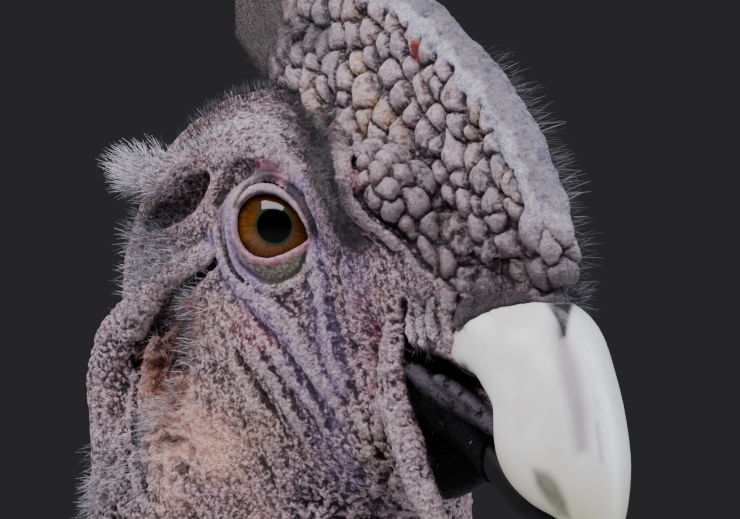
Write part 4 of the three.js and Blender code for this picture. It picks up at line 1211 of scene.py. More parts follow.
def skinMaterial():
    material, skin = startMaterial("bareWartySkin")
    look = skinLook
    keys = [*faceMarks, "comb", "keel", "lobe", "hollow", "lump", "soot", "smooth", "neck", "hide", "leg",
            "overhang"]
    marks = dict(zip(keys, marksOf(material, *keys)))
    place = objectPlace(material)

    def noise(sizeMm, detail=4.0, roughness=0.6, **more):
        return noiseIn(material, place, 1000 / sizeMm, detail, Roughness=roughness, **more)

    def spanned(source, *ends):
        return ranged(material, source, *ends)

    def times(a, b):
        return reckoned(material, "MULTIPLY", a, b, clamp=True)

    def painted(colour, paint, share):
        return over(material, colour, look[paint], share)

    grain, mottle, flecks = noise(look["grainMm"], 5.0, 0.7), noise(2.6, 3.0), noise(0.75, 2.0)

    def patchy(colour, key, share=1.0):
        ragged = reckoned(material, "MULTIPLY_ADD", mottle, 2.2, -0.85)
        broken = reckoned(material, "ADD", marks[key], ragged, clamp=True)
        return painted(colour, key, reckoned(material, "MULTIPLY", times(broken, marks[key]), share))

    colour = ramped(material, noise(6.0), 0.3, 0.7, look["base"])
    colour = painted(colour, "warm", spanned(noise(13.0), 0.5, 0.66, 0.0, 0.6))
    colour = over(material, colour, ramped(material, marks["lump"], 0.05, 0.95, look["comb"]), marks["comb"])
    for key in ("tan", "salmon", "moss", "lilac", "rosy", "pale"):
        colour = patchy(colour, key)
    colour = painted(colour, "keel", times(marks["keel"], spanned(mottle, 0.3, 0.5, 0.5, 1.0)))
    # dark mottles on the keel, in the colour of the comb's painted shade
    colour = painted(colour, "overhang", times(marks["keel"], spanned(noise(4.4), 0.5, 0.64, 0.0, 0.55)))
    colour = painted(colour, "neck", marks["neck"])
    # dry scurf in pale flecks and dark pits between the grains
    offComb = spanned(marks["comb"], 0.0, 1.0, 1.0, 0.45)
    rugged = times(spanned(marks["smooth"], 0.0, 1.0, 1.0, 0.3), offComb)
    colour = painted(colour, "speck", times(spanned(flecks, 0.52, 0.6, 0.0, 0.6), rugged))
    colour = painted(colour, "pit", times(spanned(flecks, 0.48, 0.4, 0.0, 0.82), rugged))
    # painted shade in the hollows and painted highlight on the ridges
    height = reckoned(material, "ADD", marks["hollow"], reckoned(material, "MULTIPLY_ADD", grain, 0.5, -0.25))
    colour = painted(colour, "crease", spanned(height, 0.55, 0.92, 0.0, 0.92))
    colour = painted(colour, "crest", spanned(height, 0.42, 0.12, 0.0, 0.42))
    colour = over(material, colour, spanned(grain, 0.3, 0.72, 0.6, 1.4), 1.0, "MULTIPLY")
    for key, share in look["late"].items():
        colour = patchy(colour, key, share)
    # black skin of the gape, with painted deep shade
    colour = painted(colour, "soot", marks["soot"])
    colour = painted(colour, "lip", times(marks["lip"], spanned(mottle, 0.35, 0.5)))
    colour = painted(painted(colour, "leg", marks["leg"]), "hide", marks["hide"])
    # fine relief: pores between folds, calmer on the comb and by the eye
    folds = noise(look["cellMm"] * 2, 3.0, 0.7, noise_type="RIDGED_MULTIFRACTAL")
    pores = addNode(material, "ShaderNodeTexVoronoi", {"Scale": 1000 / look["poreMm"], "Vector": place})
    relief = reckoned(material, "MULTIPLY_ADD", flecks, 0.9, grain)
    relief = reckoned(material, "MULTIPLY_ADD", pores.outputs["Distance"], 0.35, relief)
    relief = reckoned(material, "MULTIPLY_ADD", folds, 0.35, relief)
    calm = times(spanned(marks["smooth"], 0.0, 1.0, 1.0, 0.25), offComb)
    rough = spanned(grain, 0.3, 0.7, *look["roughness"])
    return dress(material, skin, {
        "Base Color": colour,
        "Normal": bumped(material, relief, 0.0008, calm),
        "Roughness": reckoned(material, "MULTIPLY_ADD", marks["comb"], -0.22, rough),
        "Specular IOR Level": spanned(marks["soot"], 0.0, 1.0, 0.5, 0.08),
        "IOR": 1.42,
        "Subsurface Weight": 0.08,
        "Subsurface Radius": (0.0012, 0.0005, 0.0003),
        "Subsurface Scale": 1.0,
    })


skinStuff = skinMaterial()

# Bristles: stiff single hairs. Each group has a path of pixels of the photograph, reach, count over both
# sides, length in mm, the way they lie in the head's frame, tone from black to white and share of rust.
bristleGroups = [
    {
        "path": [(106, 178), (124, 170), (146, 172)],
        "reach": 5,
        "count": 1050,
        "long": (1.2, 4.4),
        "lie": (-0.7, 0.3, 0.4),
        "tone": 0.8,
    },
    {
        "path": [(160, 176), (190, 158), (215, 150)],
        "reach": 3.4,
        "count": 500,
        "long": (1.0, 2.2),
        "lie": (-0.7, 0.5, 0.1),
        "tone": 0.6,
    },
    {
        "path": [(146, 235), (124, 280), (108, 315)],
        "reach": 7,
        "count": 3500,
        "long": (1.4, 4.0),
        "lie": (-0.8, -0.2, 0),
        "tone": 0.46,
    },
    {
        "path": [(100, 335), (95, 370), (94, 430), (98, 500)],
        "reach": 7,
        "count": 3500,
        "long": (1.2, 3.8),
        "lie": (-0.7, -0.5, 0),
        "tone": 0.52,
    },
    {
        "path": [(215, 118), (245, 100), (275, 92)],
        "reach": 7,
        "count": 1200,
        "long": (1.4, 2.8),
        "lie": (-0.5, 0.7, 0),
        "tone": 0.14,
    },
    {
        "path": [(300, 110), (322, 140), (334, 170), (345, 200)],
        "reach": 4.5,
        "count": 1300,
        "long": (1.0, 2.2),
        "lie": (-0.4, -0.7, 0),
        "tone": 0.08,
    },
    {
        "path": [(178, 322), (170, 348), (160, 376)],
        "reach": 5,
        "count": 600,
        "long": (1.2, 2.6),
        "lie": (-0.3, -0.8, 0),
        "tone": 0.3,
        "rust": 0.9,
    },
    {
        "path": [(220, 330), (280, 420), (350, 460)],
        "reach": 16,
        "count": 500,
        "long": (0.6, 1.2),
        "lie": (0.3, -0.8, 0),
        "tone": 0.6,
    },
    {
        "path": [(415, 340, 14), (440, 330, 13.5), (470, 305, 12.8)],
        "reach": 3.4,
        "count": 260,
        "long": (1.6, 3.4),
        "lie": (0.8, -0.3, 0),
        "tone": 0.4,
    },
    {
        "path": [(500, 110, -6), (540, 180, -6), (562, 240, -7), (572, 285, -8)],
        "reach": 8,
        "count": 1500,
        "long": (2.0, 5.2),
        "lie": (0.35, 0.1, -0.6),
        "tone": 0.3,
        "side": -1,
    },
]
bristleLook = {"tones": ("#0b0a0b", "#77717a", "#efedf2"), "rust": "#b8683c", "rootMm": 0.055, "tipMm": 0.015}


def bristleMaterial():
    material, hair = startMaterial("stiffBristle")
    tone, rust = marksOf(material, "tone", "rust")
    colour = over(material, ramped(material, tone, 0.0, 1.0, bristleLook["tones"]), bristleLook["rust"], rust)
    return dress(material, hair, {"Base Color": colour, "Roughness": 0.4, "IOR": 1.55})


def bristles():
    draw = np.random.default_rng(23)
    corners = headPoints[headQuads]
    outs, area = facesOf(corners)
    middles = corners.mean(1)
    bars = ((0, bristleLook["rootMm"]), (0.55, bristleLook["rootMm"] * 0.8), (1, bristleLook["tipMm"]))
    rings, roots, tones, rusts = [], [], [], []
    for group in bristleGroups:
        side = group.get("side")
        share = spotShare(middles, group["path"], group["reach"], mirror=side is None) * area
        if side:
            share = share * (middles[:, 2] * side > 0)
        count = group["count"] // 1
        root, out = scattered(draw, corners, outs, share, count)
        lie = np.array(group["lie"]) * np.ones((count, 1))
        if side is None:
            lie[:, 2] *= np.sign(root[:, 2])
        long = draw.uniform(*group["long"], count)[:, None]
        way = out * 0.72 + lie * 0.62 + draw.normal(0, 0.24, (count, 3))
        way /= np.linalg.norm(way, axis=1, keepdims=True)
        across = np.cross(way, np.array((0.3, 0.2, 0.93)))
        across /= np.maximum(np.linalg.norm(across, axis=1, keepdims=True), 1e-6)
        other = np.cross(way, across)
        droop = lie * 0.35 * long
        tube = []
        for t, radius in bars:
            spine = root - way * 0.15 + way * long * t + droop * t * t
            tube.append(np.stack([spine + radius * (math.cos(turned) * across + math.sin(turned) * other)
                                  for turned in np.arange(3) * 2 * math.pi / 3], 1))
        rings.append(np.stack(tube, 1))
        roots.append(root)
        tones.append(np.clip(draw.normal(group["tone"], 0.2, count), 0, 1))
        rusts.append(np.full(count, group.get("rust", 0.0)) * draw.uniform(0.5, 1, count))
    rings, roots = fromHead(np.concatenate(rings)), fromHead(np.concatenate(roots))
    tones, rusts = (np.concatenate(v)[:, None, None] for v in (tones, rusts))
    addCoat("bristles", rings, roots, bristleMaterial(), (), {"tone": tones, "rust": rusts})
    print("bristles", len(roots))


bristles()

# The eyes: one glossy ball each, the iris round the way it looks
def eyeball(side):
    look = onEyeball([eye["pupil"]], eye["radius"] + 0.2)[0] - eyeMiddle
    look /= np.linalg.norm(look)
    across = np.cross(eyeAxes["up"], look)
    across /= np.linalg.norm(across)
    upright = np.cross(look, across)
    rows, sides = 56, 72
    angle = np.linspace(0, math.pi, rows)[1:-1] ** 1.25 / math.pi ** 0.25
    around = np.linspace(0, 2 * math.pi, sides, endpoint=False)
    bulge = eye["radius"] + eye["bulge"] * smoothStep(np.degrees(angle), 38, 12)
    out = np.cos(angle)[:, None, None] * look
    ways = np.cos(around)[None, :, None] * across + np.sin(around)[None, :, None] * upright
    wide = np.sin(angle)[:, None, None] * ways
    points = (bulge[:, None, None] * (out + wide)).reshape(-1, 3)
    poles = [look * (eye["radius"] + eye["bulge"]), -look * eye["radius"]]
    points = np.concatenate([points, poles]) + eyeMiddle
    walls, caps = ringFaces(rows - 2, sides)
    ring = np.concatenate([np.repeat(np.degrees(angle), sides), [0, 180]])
    turned = np.concatenate([np.tile(around, rows - 2), [0, 0]])
    points[:, 2] *= side
    if side < 0:
        walls, caps = walls[:, ::-1], caps[:, ::-1]
    name = "eye_right" if side > 0 else "eye_left"
    marks = {"ring": ring / 90, "turned": turned / (2 * math.pi),
             "rise": np.clip(points[:, 1] / 8, -1, 1) * 0.5 + 0.5}
    return addPiece(name + "_ball", fromHead(points), [walls, caps], eyeStuff, (name,), marks=marks)


eyeLook = {
    "pupil": "#000001",
    "inner": "#2f341e",
    "iris": ("#472608", "#8c5210"),
    "shade": "#160a03",
    "white": "#1c100c",
}


def eyeMaterial():
    material, ball = startMaterial("wetEyeball")
    ring, turned, rise = marksOf(material, "ring", "turned", "rise")
    place = addNode(material, "ShaderNodeCombineXYZ", {"X": ring, "Y": turned}).outputs[0]
    streaks = drawnNoise(material, place, (3.0, 70.0, 1.0), 5.0)
    colour = ramped(material, streaks, 0.3, 0.7, eyeLook["iris"])
    # painted shadow of the upper lid, darker towards the top of the iris
    colour = over(material, colour, eyeLook["shade"], ranged(material, rise, 0.35, 0.8, 0.0, 0.75))
    edge = eye["pupilAngle"] / 90
    for low, high, key in ((edge + 0.07, edge + 0.02, "inner"), (edge + 0.006, edge - 0.006, "pupil"),
                           (0.52, 0.62, "white")):
        colour = over(material, colour, eyeLook[key], ranged(material, ring, low, high))
    return dress(material, ball, {
        "Base Color": colour,
        "Roughness": 0.5,
        "IOR": 1.376,
        "Specular IOR Level": 0.0,
        "Coat Weight": ranged(material, ring, edge - 0.01, edge + 0.01, 0.35, 1.0),
        "Coat Roughness": 0.02,
        "Coat IOR": 1.376,
    })


eyeStuff = eyeMaterial()
for side in (-1, 1):
    eyeball(side)

# The horn of the bill: ivory over the hook, dark along the ridge, greenish by the cutting edge, with painted
# shadow in the notch inside the hook. Each mark is an outline in pixels of the photograph, a soft edge in
# pixels, a strength and whether both sides have it.
hornLook = {
    "ivory": ("#e9e5d9", "#faf8f4"),
    "dark": "#2c2528",
    "mauve": "#7d6a72",
    "green": "#b3b07c",
    "deep": "#4c5138",
    "covered": "#070607",
    "roughness": 0.32,
}
hornMarks = {
    "mauve": [
        (
            [
                (550, 322), (566, 330), (579, 368), (587, 410), (589, 452), (575, 454), (569, 412),
                (559, 372),
            ],
            7, 0.62, False,
        ),
        ([(595, 420), (599, 424), (604, 464), (600, 464)], 2, 0.5, False),
    ],
    "dark": [
        ([(545, 302), (574, 302), (570, 318), (566, 338), (561, 338), (555, 320)], 3, 0.95, False),
        ([(461, 362), (467, 364), (470, 378), (463, 376)], 2, 0.7, True),
        ([(462, 378), (470, 384), (486, 406), (480, 406)], 3, 0.5, True),
    ],
    "green": [([(493, 440), (520, 470), (600, 500), (590, 560), (540, 540), (495, 490)], 16, 0.55, True)],
    # painted shadow in the notch inside the hook
    "deep": [
        (
            [
                (532, 468), (549, 472), (559, 484), (566, 500), (571, 519), (558, 516), (545, 500),
                (536, 484),
            ],
            5, 0.8, True,
        ),
    ],
}


def hornMaterial():
    material, horn = startMaterial("wornIvoryHorn")
    place = objectPlace(material)
    noise = noiseIn(material, place, 160.0, 6.0, Roughness=0.6)
    colour = ramped(material, noise, 0.35, 0.65, hornLook["ivory"])
    keys = ("green", "deep", "mauve", "dark", "covered")
    for key, mark in zip(keys, marksOf(material, *keys)):
        broken = reckoned(material, "MULTIPLY_ADD", noise, 1.2, -0.6)
        share = reckoned(material, "MULTIPLY_ADD", broken, mark, mark, clamp=True)
        colour = over(material, colour, hornLook[key], share)
    scratches = drawnNoise(material, place, (900.0, 900.0, 90.0), 4.0)
    return dress(material, horn, {
        "Base Color": colour,
        "Normal": bumped(material, scratches, 0.0004, 0.25),
        "Roughness": hornLook["roughness"],
        "IOR": 1.55,
    })


hornStuff = hornMaterial()
points, walls, ends = upperHorn
hornPaint = {}
for key, spots in hornMarks.items():
    hornPaint[key] = np.zeros(len(points))
    for outline, soft, strength, mirror in spots:
        seen = np.concatenate([points[:, :2], np.abs(points[:, 2:])], 1) if mirror else points
        inMark, _ = outlineDistance(inPicture(fromHead(seen)), outline)
        near = 1 if mirror else smoothStep(points[:, 2], -9, -5)
        hornPaint[key] = np.maximum(hornPaint[key], strength * smoothStep(-inMark, -soft, soft) * near)
hornPaint["green"] = np.maximum(hornPaint["green"], 0.7 * smoothStep(-points[:, 1], 27, 47))
# painted shade: the horn under the cere is painted near black, so the nostrils show as dark holes
underSkin, _ = outlineDistance((points[:, 0], points[:, 1]), cereOutline)
hornPaint["covered"] = smoothStep(-underSkin, 0.4, 1.4) * 2
addPiece("bill_upper_horn", fromHead(points), [walls, ends], hornStuff, ("bill_upper",),
         marks=hornPaint)


def darkHornMaterial():
    material, horn = startMaterial("darkKeratin")
    noise = noiseIn(material, objectPlace(material), 220.0, 5.0)
    return dress(material, horn, {
        "Base Color": ramped(material, noise, 0.3, 0.75, ("#070607", "#1c181a")),
        "Normal": bumped(material, noise, 0.0005, 0.3),
        "Roughness": 0.55,
        "Specular IOR Level": 0.22,
        "IOR": 1.55,
    })


darkHornStuff = darkHornMaterial()
points, walls, ends = lowerHorn
addPiece("bill_lower_horn", fromHead(points), [walls, ends], darkHornStuff, ("bill_lower",))
print("eyes and bill made")


# The body under its feathers, in the part's own frame: x to the left, y back, z up
bodyShape = {
    "eggs": [((0, -12, 465), (120, 225, 108), 38), ((0, -112, 528), (112, 108, 100), 50),
             ((0, 112, 370), (74, 118, 66), 40), ((0, -30, 385), (96, 112, 70), 20)],
    "soft": 30,
    "neck": ((0, -95, 560), 90, (0, -137, 660), 44),
    "coat": 9.0,
}
leg = {
    "knee": np.array((80, -62, 326.0)), "ankle": np.array((86, 50, 138.0)), "sole": np.array((88, 8, 0.0)),
    "toes": {"inner": (-34, 78, 9.5), "middle": (4, 112, 11), "outer": (38, 76, 9.5), "hind": (168, 36, 7.5)},
}


# The way down a slope in degrees towards the tail, and the way out over it
def slopeWays(degrees):
    slope = math.radians(degrees)
    return np.array((0, math.cos(slope), -math.sin(slope))), np.array((0, math.sin(slope), math.cos(slope)))


def slopedEgg(p, at, size, slope):
    x, y, z = p
    turned = math.radians(slope)
    y, z = y - at[1], z - at[2]
    along = y * math.cos(turned) - z * math.sin(turned)
    over = y * math.sin(turned) + z * math.cos(turned)
    return eggField((x - at[0], along, over), (0, 0, 0), size)


def torsoField(p):
    field = slopedEgg(p, *bodyShape["eggs"][0])
    for egg in bodyShape["eggs"][1:]:
        field = blend(field, slopedEgg(p, *egg), bodyShape["soft"])
    a, ra, b, rb = bodyShape["neck"]
    return blend(field, coneField(p, a, ra, b, rb), 40)


def mixed(a, b, part):
    return a + (b - a) * part


def thighField(p):
    knee, ankle = leg["knee"], leg["ankle"]
    return blend(coneField(p, (60, -40, 385), 60, mixed(knee, ankle, 0.35), 48),
                 coneField(p, mixed(knee, ankle, 0.3), 52, mixed(ankle, knee, 0.12), 27), 20)


def bodyVolume(grain):
    lines = (np.arange(-140, 141, grain), np.arange(-240, 250, grain), np.arange(120, 720, grain))
    volume = emptyVolume(*lines)

    def flesh(field, p):
        x, y, z = p
        thighs = np.maximum(thighField((np.abs(x), y, z)) + bodyShape["coat"] * 0.8, 146 - z)
        return blend(torsoField(p) + bodyShape["coat"], thighs, 16)

    reshapeVolume(volume, (-150, -250, 100), (150, 260, 730), flesh)
    return volume


def toeWay(turn):
    return np.array((math.sin(math.radians(turn)), -math.cos(math.radians(turn)), 0))


def legVolume(grain):
    volume = emptyVolume(np.arange(26, 156, grain), np.arange(-116, 80, grain), np.arange(-3, 176, grain))
    ankle, sole = leg["ankle"], leg["sole"]
    path = [ankle + (0, 6, 26), ankle, mixed(ankle, sole, 0.45) + (0, 2, 0),
            mixed(ankle, sole, 0.8) + (0, 2, 4), np.array((sole[0], sole[1] + 3, 17))]
    addLimb(volume, path, [13, 16.5, 12.2, 12, 15], 4)
    addForm(volume, lambda p: eggField(p, (88, 8, 9), (17, 21, 15)), (88, 8, 9), (40, 40, 40), 4)
    for turn, long, radius in leg["toes"].values():
        way = toeWay(turn)
        spots, radii = [], []
        for t in np.linspace(0, 1, 15):
            pad = 1 + 0.09 * math.cos(t * 6 * math.pi)
            size = radius * (1.1 + (0.72 - 1.1) * t) * pad
            middle = np.array((sole[0], sole[1], size * 0.8 + math.sin(t * math.pi) * 2))
            spots.append(middle + way * (long * 0.97 * t))
            radii.append(size)
        addLimb(volume, spots, radii, 2)
    reshapeVolume(volume, (20, -130, -10), (160, 90, 8),
                  lambda field, p: np.maximum(field, 0.15 - p[2] + field * 0))
    return volume


bodyPoints, bodyQuads = surfaceOf(bodyVolume(4.0))
legPoints, legQuads = surfaceOf(legVolume(1.3))


# Scutes: broad plates down the front of the shank and over the toes, round scales elsewhere
def scaled(points, quads):
    normals = normalsOf(points, quads)
    sole = leg["sole"]
    x, y, z = points.T
    out = np.hypot(x - sole[0], y - sole[1])
    facing = smoothStep(np.where(z > 26, -normals[:, 1], normals[:, 2]), 0.1, 0.5)
    run = np.where(z > 26, z / 6.4, out / 5.2)
    part = run - np.floor(run)
    plate = smoothStep(part, 0.0, 0.16) * (1 - 0.35 * part)
    nearest, second, mark = cellNoise(points, 3.4, 71)
    scale = smoothStep(second - nearest, 0, 0.35)
    lift = (plate - 0.6) * 1.5 * facing + (scale - 0.6) * 0.7 * (1 - facing)
    offFloor = z > 1.2
    raised = np.clip(plate * facing + scale * (1 - facing), 0, 1)
    return points + normals * (lift * offFloor)[:, None], raised, mark


legMoved, legRaised, legMark = scaled(legPoints, legQuads)
allPoints, allQuads, allMarks = [fromHead(headPoints)], [headQuads], {k: [v] for k, v in headMarks.items()}
allMarks["hide"], allMarks["leg"] = [np.zeros(len(headPoints))], [np.zeros(len(headPoints))]
# painted shade between the scutes and painted highlight on the raised plates
legMarks = {"leg": 1.0, "hollow": 0.8 - 0.5 * legRaised, "lump": legMark}
for points, quads, extra in ((bodyPoints, bodyQuads, {"hide": 1.0}), (legMoved, legQuads, legMarks),
                             (legMoved * (-1, 1, 1), legQuads[:, ::-1], legMarks)):
    start = sum(len(p) for p in allPoints)
    allPoints.append(fromBody(points))
    allQuads.append(quads + start)
    for key, values in allMarks.items():
        values.append(np.broadcast_to(extra.get(key, 0.5 if key == "hollow" else 0.0), len(points)))
skinNodes = ["head", "comb", "cere", "neck", "torso"]
skinNodes += [node + side for node in ("thigh", "shank", "foot") for side in ("_left", "_right")]
skinPiece = addPiece("skin", np.concatenate(allPoints), [np.concatenate(allQuads)], skinStuff,
                     skinNodes, marks={k: np.concatenate(v) for k, v in allMarks.items()})
print("one skin", len(skinPiece.data.vertices))


# Claws: dark horn, curved down to the floor
def clawLoft(turn, long, radius):
    way = toeWay(turn)
    side = np.array((-way[1], way[0], 0))
    size = radius * 0.56
    path = smoothed([(0, 7), (0.4, 8), (0.8, 4.4), (1, 0.9)], np.linspace(0, 3, 22))
    thick = np.interp(np.linspace(0, 3, 22), [0, 1, 2, 3], [size * 1.02, size * 0.86, size * 0.5, 0.35])
    around = np.linspace(0, 2 * math.pi, 16, endpoint=False)
    spine = leg["sole"] + way * (long - 3 + radius * 2.5 * path[:, :1]) + np.array((0, 0, 1)) * path[:, 1:]
    steep = np.gradient(path[:, 1]) / np.maximum(np.gradient(path[:, 0]) * radius * 2.5, 1e-6)
    upright = np.array((0, 0, 1)) - way * steep[:, None]
    upright /= np.linalg.norm(upright, axis=1, keepdims=True)
    ring = (np.cos(around)[None, :, None] * side * 0.82 + np.sin(around)[None, :, None] * upright[:, None, :])
    grid = spine[:, None, :] + thick[:, None, None] * ring
    grid[..., 2] = np.maximum(grid[..., 2], 0.2)
    return grid


for sign, sideName in ((1, "left"), (-1, "right")):
    for toe, shape in leg["toes"].items():
        grid = clawLoft(*shape) * (sign, 1, 1)
        points, walls, ends = closedLoft(grid)
        addPiece(f"claw_{toe}_{sideName}_horn", fromBody(points), [walls, ends], darkHornStuff,
                 (f"claw_{toe}_{sideName}",))

# Feathers. A vane has a shaft along its middle and barbs that slant from it
featherLook = {
    "black": ("#0c0c0e", "#1d1d21"),
    "silver": ("#8f9196", "#d9dadb"),
    "down": ("#e8e5df", "#f6f5f1"),
    "barbs": 420.0,
}


def featherMaterial(name, tones, sheen, rough, edge=None):
    material, vane = startMaterial(name)
    along, across, shade = marksOf(material, "along", "across", "shade")
    out = reckoned(material, "ABSOLUTE", across)
    slant = reckoned(material, "MULTIPLY_ADD", out, -0.12, along)
    barbs = reckoned(material, "SINE", reckoned(material, "MULTIPLY", slant, featherLook["barbs"]))
    place = addNode(material, "ShaderNodeCombineXYZ", {"X": slant, "Y": shade}).outputs[0]
    mottle = drawnNoise(material, place, (26.0, 40.0, 1.0), 4.0)
    tone = reckoned(material, "MULTIPLY_ADD", mottle, 0.55, shade)
    colour = ramped(material, tone, 0.25, 0.95, tones)
    if edge:
        colour = over(material, colour, edge, ranged(material, out, 0.55, 0.95))
    return dress(material, vane, {
        "Base Color": colour,
        "Normal": bumped(material, barbs, 0.0005, 0.35),
        "Roughness": rough,
        "Sheen Weight": sheen,
    })


blackStuff = featherMaterial("glossyBlackFeather", featherLook["black"], 0.15, 0.42)
silverStuff = featherMaterial("silverWhiteFeather", featherLook["silver"], 0.1, 0.55, "#5c5d62")
downStuff = featherMaterial("whiteDown", featherLook["down"], 0.3, 0.8)

# The folded wing: s runs back along it and q up its side from 0 to 1
wing = {
    "slope": 38.5,
    "front": (0, -172, 572),
    "angles": (-34, 74),
    "stops": [0, 70, 200, 340, 500, 650, 790],
    "wide": [104, 131, 146, 136, 98, 58, 30],
    "tall": [66, 106, 128, 112, 72, 42, 22],
    "tiers": {
        "primaries": {
            "count": 9,
            "s": (390, 385),
            "q": (0.3, 0.76),
            "long": (398, 282),
            "rise": 1,
            "wide": 34,
            "drift": 0.04,
            "step": 1.25,
        },
        "secondaries": {
            "count": 15,
            "s": (168, 250),
            "q": (0.06, 0.94),
            "long": (300, 335),
            "rise": 9,
            "wide": 44,
            "drift": 0.02,
            "step": 0.8,
        },
        "greaterCoverts": {
            "count": 15,
            "s": (112, 196),
            "q": (0.07, 0.94),
            "long": (140, 150),
            "rise": 10,
            "wide": 40,
            "drift": 0.02,
            "step": 0.8,
        },
        "medianCoverts": {
            "count": 15,
            "s": (66, 138),
            "q": (0.08, 0.94),
            "long": (98, 104),
            "rise": 10,
            "wide": 36,
            "drift": 0.01,
            "step": 0.8,
        },
        "lesserCoverts": {
            "count": 15,
            "s": (26, 84),
            "q": (0.10, 0.92),
            "long": (74, 84),
            "rise": 9,
            "wide": 32,
            "drift": 0.01,
            "step": 0.7,
        },
        "marginalCoverts": {
            "count": 14,
            "s": (2, 44),
            "q": (0.12, 0.9),
            "long": (52, 60),
            "rise": 9,
            "wide": 28,
            "drift": 0.01,
            "step": 0.6,
        },
    },
}


def eased(stops, values, s):
    stops, values = np.asarray(stops, float), np.asarray(values, float)
    last = len(stops) - 1
    t = np.clip(s, stops[0], stops[-1])
    i = np.minimum(np.searchsorted(stops, t, side="right") - 1, last - 1)
    before, after = np.maximum(np.arange(last + 1) - 1, 0), np.minimum(np.arange(last + 1) + 1, last)
    slope = (values[after] - values[before]) / (stops[after] - stops[before])
    width = stops[i + 1] - stops[i]
    u = (t - stops[i]) / width
    rise = (values[i + 1] - values[i]) * u * u * (3 - 2 * u)
    return values[i] + rise + width * u * (1 - u) * (slope[i] * (1 - u) - slope[i + 1] * u)


wingWay, wingOver = slopeWays(wing["slope"])


leftWay = np.array((1.0, 0, 0))


def onWing(s, q, lift):
    s, q, lift = np.broadcast_arrays(s, q, lift)
    angle = np.radians(wing["angles"][0] + (wing["angles"][1] - wing["angles"][0]) * q)
    wide, tall = eased(wing["stops"], wing["wide"], s), eased(wing["stops"], wing["tall"], s)
    at = np.array(wing["front"]) + s[..., None] * wingWay + (tall * np.sin(angle))[..., None] * wingOver
    at = at + (wide * np.cos(angle))[..., None] * leftWay
    out = (np.cos(angle) / wide)[..., None] * leftWay + (np.sin(angle) / tall)[..., None] * wingOver
    return at + lift[..., None] * out / np.linalg.norm(out, axis=-1, keepdims=True)


# A large vane's corners: places across it, and which of them are on its top
vaneEdges = np.array([-1, -0.5, 0, 0.5, 1, 1, 0.5, 0, -0.5, -1])
vaneTop = np.array([1, 1, 1, 1, 1, 0, 0, 0, 0, 0])
# Places along a vane and its half width there
vaneOutline = np.array([(0, 0.34), (0.12, 0.72), (0.3, 0.92), (0.55, 1.0), (0.78, 0.95), (0.9, 0.8),
                        (0.96, 0.6), (1.0, 0.22)])


def tierRings(tier, rows=14):
    draw = np.random.default_rng(17)
    count = tier["count"]
    share = np.linspace(0, 1, count)[:, None, None]
    between = (tier["q"][1] - tier["q"][0]) / (count - 1)
    middle = mixed(*tier["q"], share)
    t = np.concatenate([[0], np.linspace(0.12, 1, rows - 1)])[None, :, None]
    half = np.interp(t, vaneOutline[:, 0], vaneOutline[:, 1]) * tier["wide"] / 2
    edges, top = vaneEdges, vaneTop
    vary = draw.normal(0, 1, (count, 1, 1))
    spot = mixed(*tier["s"], share) + mixed(*tier["long"], share) * t
    arc = (eased(wing["stops"], wing["wide"], spot) + eased(wing["stops"], wing["tall"], spot)) / 2
    arc = arc * math.radians(wing["angles"][1] - wing["angles"][0])
    ragged = 1 + 0.05 * np.sin(t * 37 + vary * 9 + edges * 2)
    q = middle + tier["drift"] * t + edges * half * ragged / arc
    part = (q - tier["q"][0]) / (tier["q"][1] - tier["q"][0])
    s = mixed(*tier["s"], part) + mixed(*tier["long"], part) * t
    s = s - 6 * edges ** 2 * t ** 3 * 1.5 + vary * 2 * t
    lift = np.where(t == 0, -6, 1.2 + (tier["rise"] - 1.2) * (t - 0.12) / 0.88)
    step = tier["step"] * ((middle + tier["drift"] * t - q) / between + 1.2)
    shaft = np.where(edges == 0, 0.45 * (1 - t), 0)
    body = top * (0.42 - 0.2 * t) + top * (1 - edges ** 2) * 0.25 + top * shaft
    rings = onWing(s, q, lift + step + body)
    across = np.broadcast_to(edges, rings.shape[:3])
    shade = np.broadcast_to(0.5 + 0.16 * vary, rings.shape[:3])
    return rings, across, shade


def mirroredRings(rings):
    return (rings * (-1, 1, 1))[:, :, ::-1]


for sign, sideName in ((1, "left"), (-1, "right")):
    for tierName, tier in wing["tiers"].items():
        rings, across, shade = tierRings(tier)
        if sign < 0:
            rings, across, shade = mirroredRings(rings), across[:, :, ::-1], shade[:, :, ::-1]
        rings = fromBody(rings)
        roots = rings[:, 1].mean(1)
        stuff = silverStuff if tierName in ("secondaries", "greaterCoverts") else blackStuff
        addCoat(f"{tierName}_{sideName}", rings, roots, stuff, (f"wing_{sideName}",),
                {"across": across, "shade": shade})

# The tail: twelve vanes, the middle pair on top
tail = {"root": (0, 150, 302), "slope": 42, "length": 345, "spread": 14, "half": 27}


def tailRings(rows=16):
    way, up = slopeWays(tail["slope"])
    i = np.arange(12)[:, None, None]
    sign = np.where(i % 2 == 1, -1, 1)
    turned = math.radians(tail["spread"]) * (i // 2 + 0.5) * sign / 6
    long = tail["length"] - i * 2.5
    t = np.linspace(0, 1, rows)[None, :, None]
    edges, top = vaneEdges, vaneTop
    half = tail["half"] * np.interp(t, [0, 0.25, 0.5, 0.75, 0.92, 1], [0.4, 0.86, 1, 0.96, 0.72, 0.3])
    run = 6 + long * t * np.cos(turned) - edges * half * np.sin(turned) - 9 * edges ** 2 * t ** 6
    lift = 2 - 1.5 * i + t * t * 14 + top * 0.5 + top * (1 - edges ** 2) * 0.3 + top * (edges == 0) * 0.5
    outward = long * t * np.sin(turned) + edges * half * np.cos(turned)
    points = np.array(tail["root"]) + run[..., None] * way + lift[..., None] * up
    points = points + outward[..., None] * leftWay
    return points, np.broadcast_to(edges, points.shape[:3])


rings, across = tailRings()
rings = fromBody(rings)
addCoat("tail_vanes", rings, rings[:, 0].mean(1), blackStuff, ("tail",),
        {"across": across, "shade": 0.5 + 0.1 * np.sin(np.arange(12) * 2.3)[:, None, None]})
print("wings and tail made")


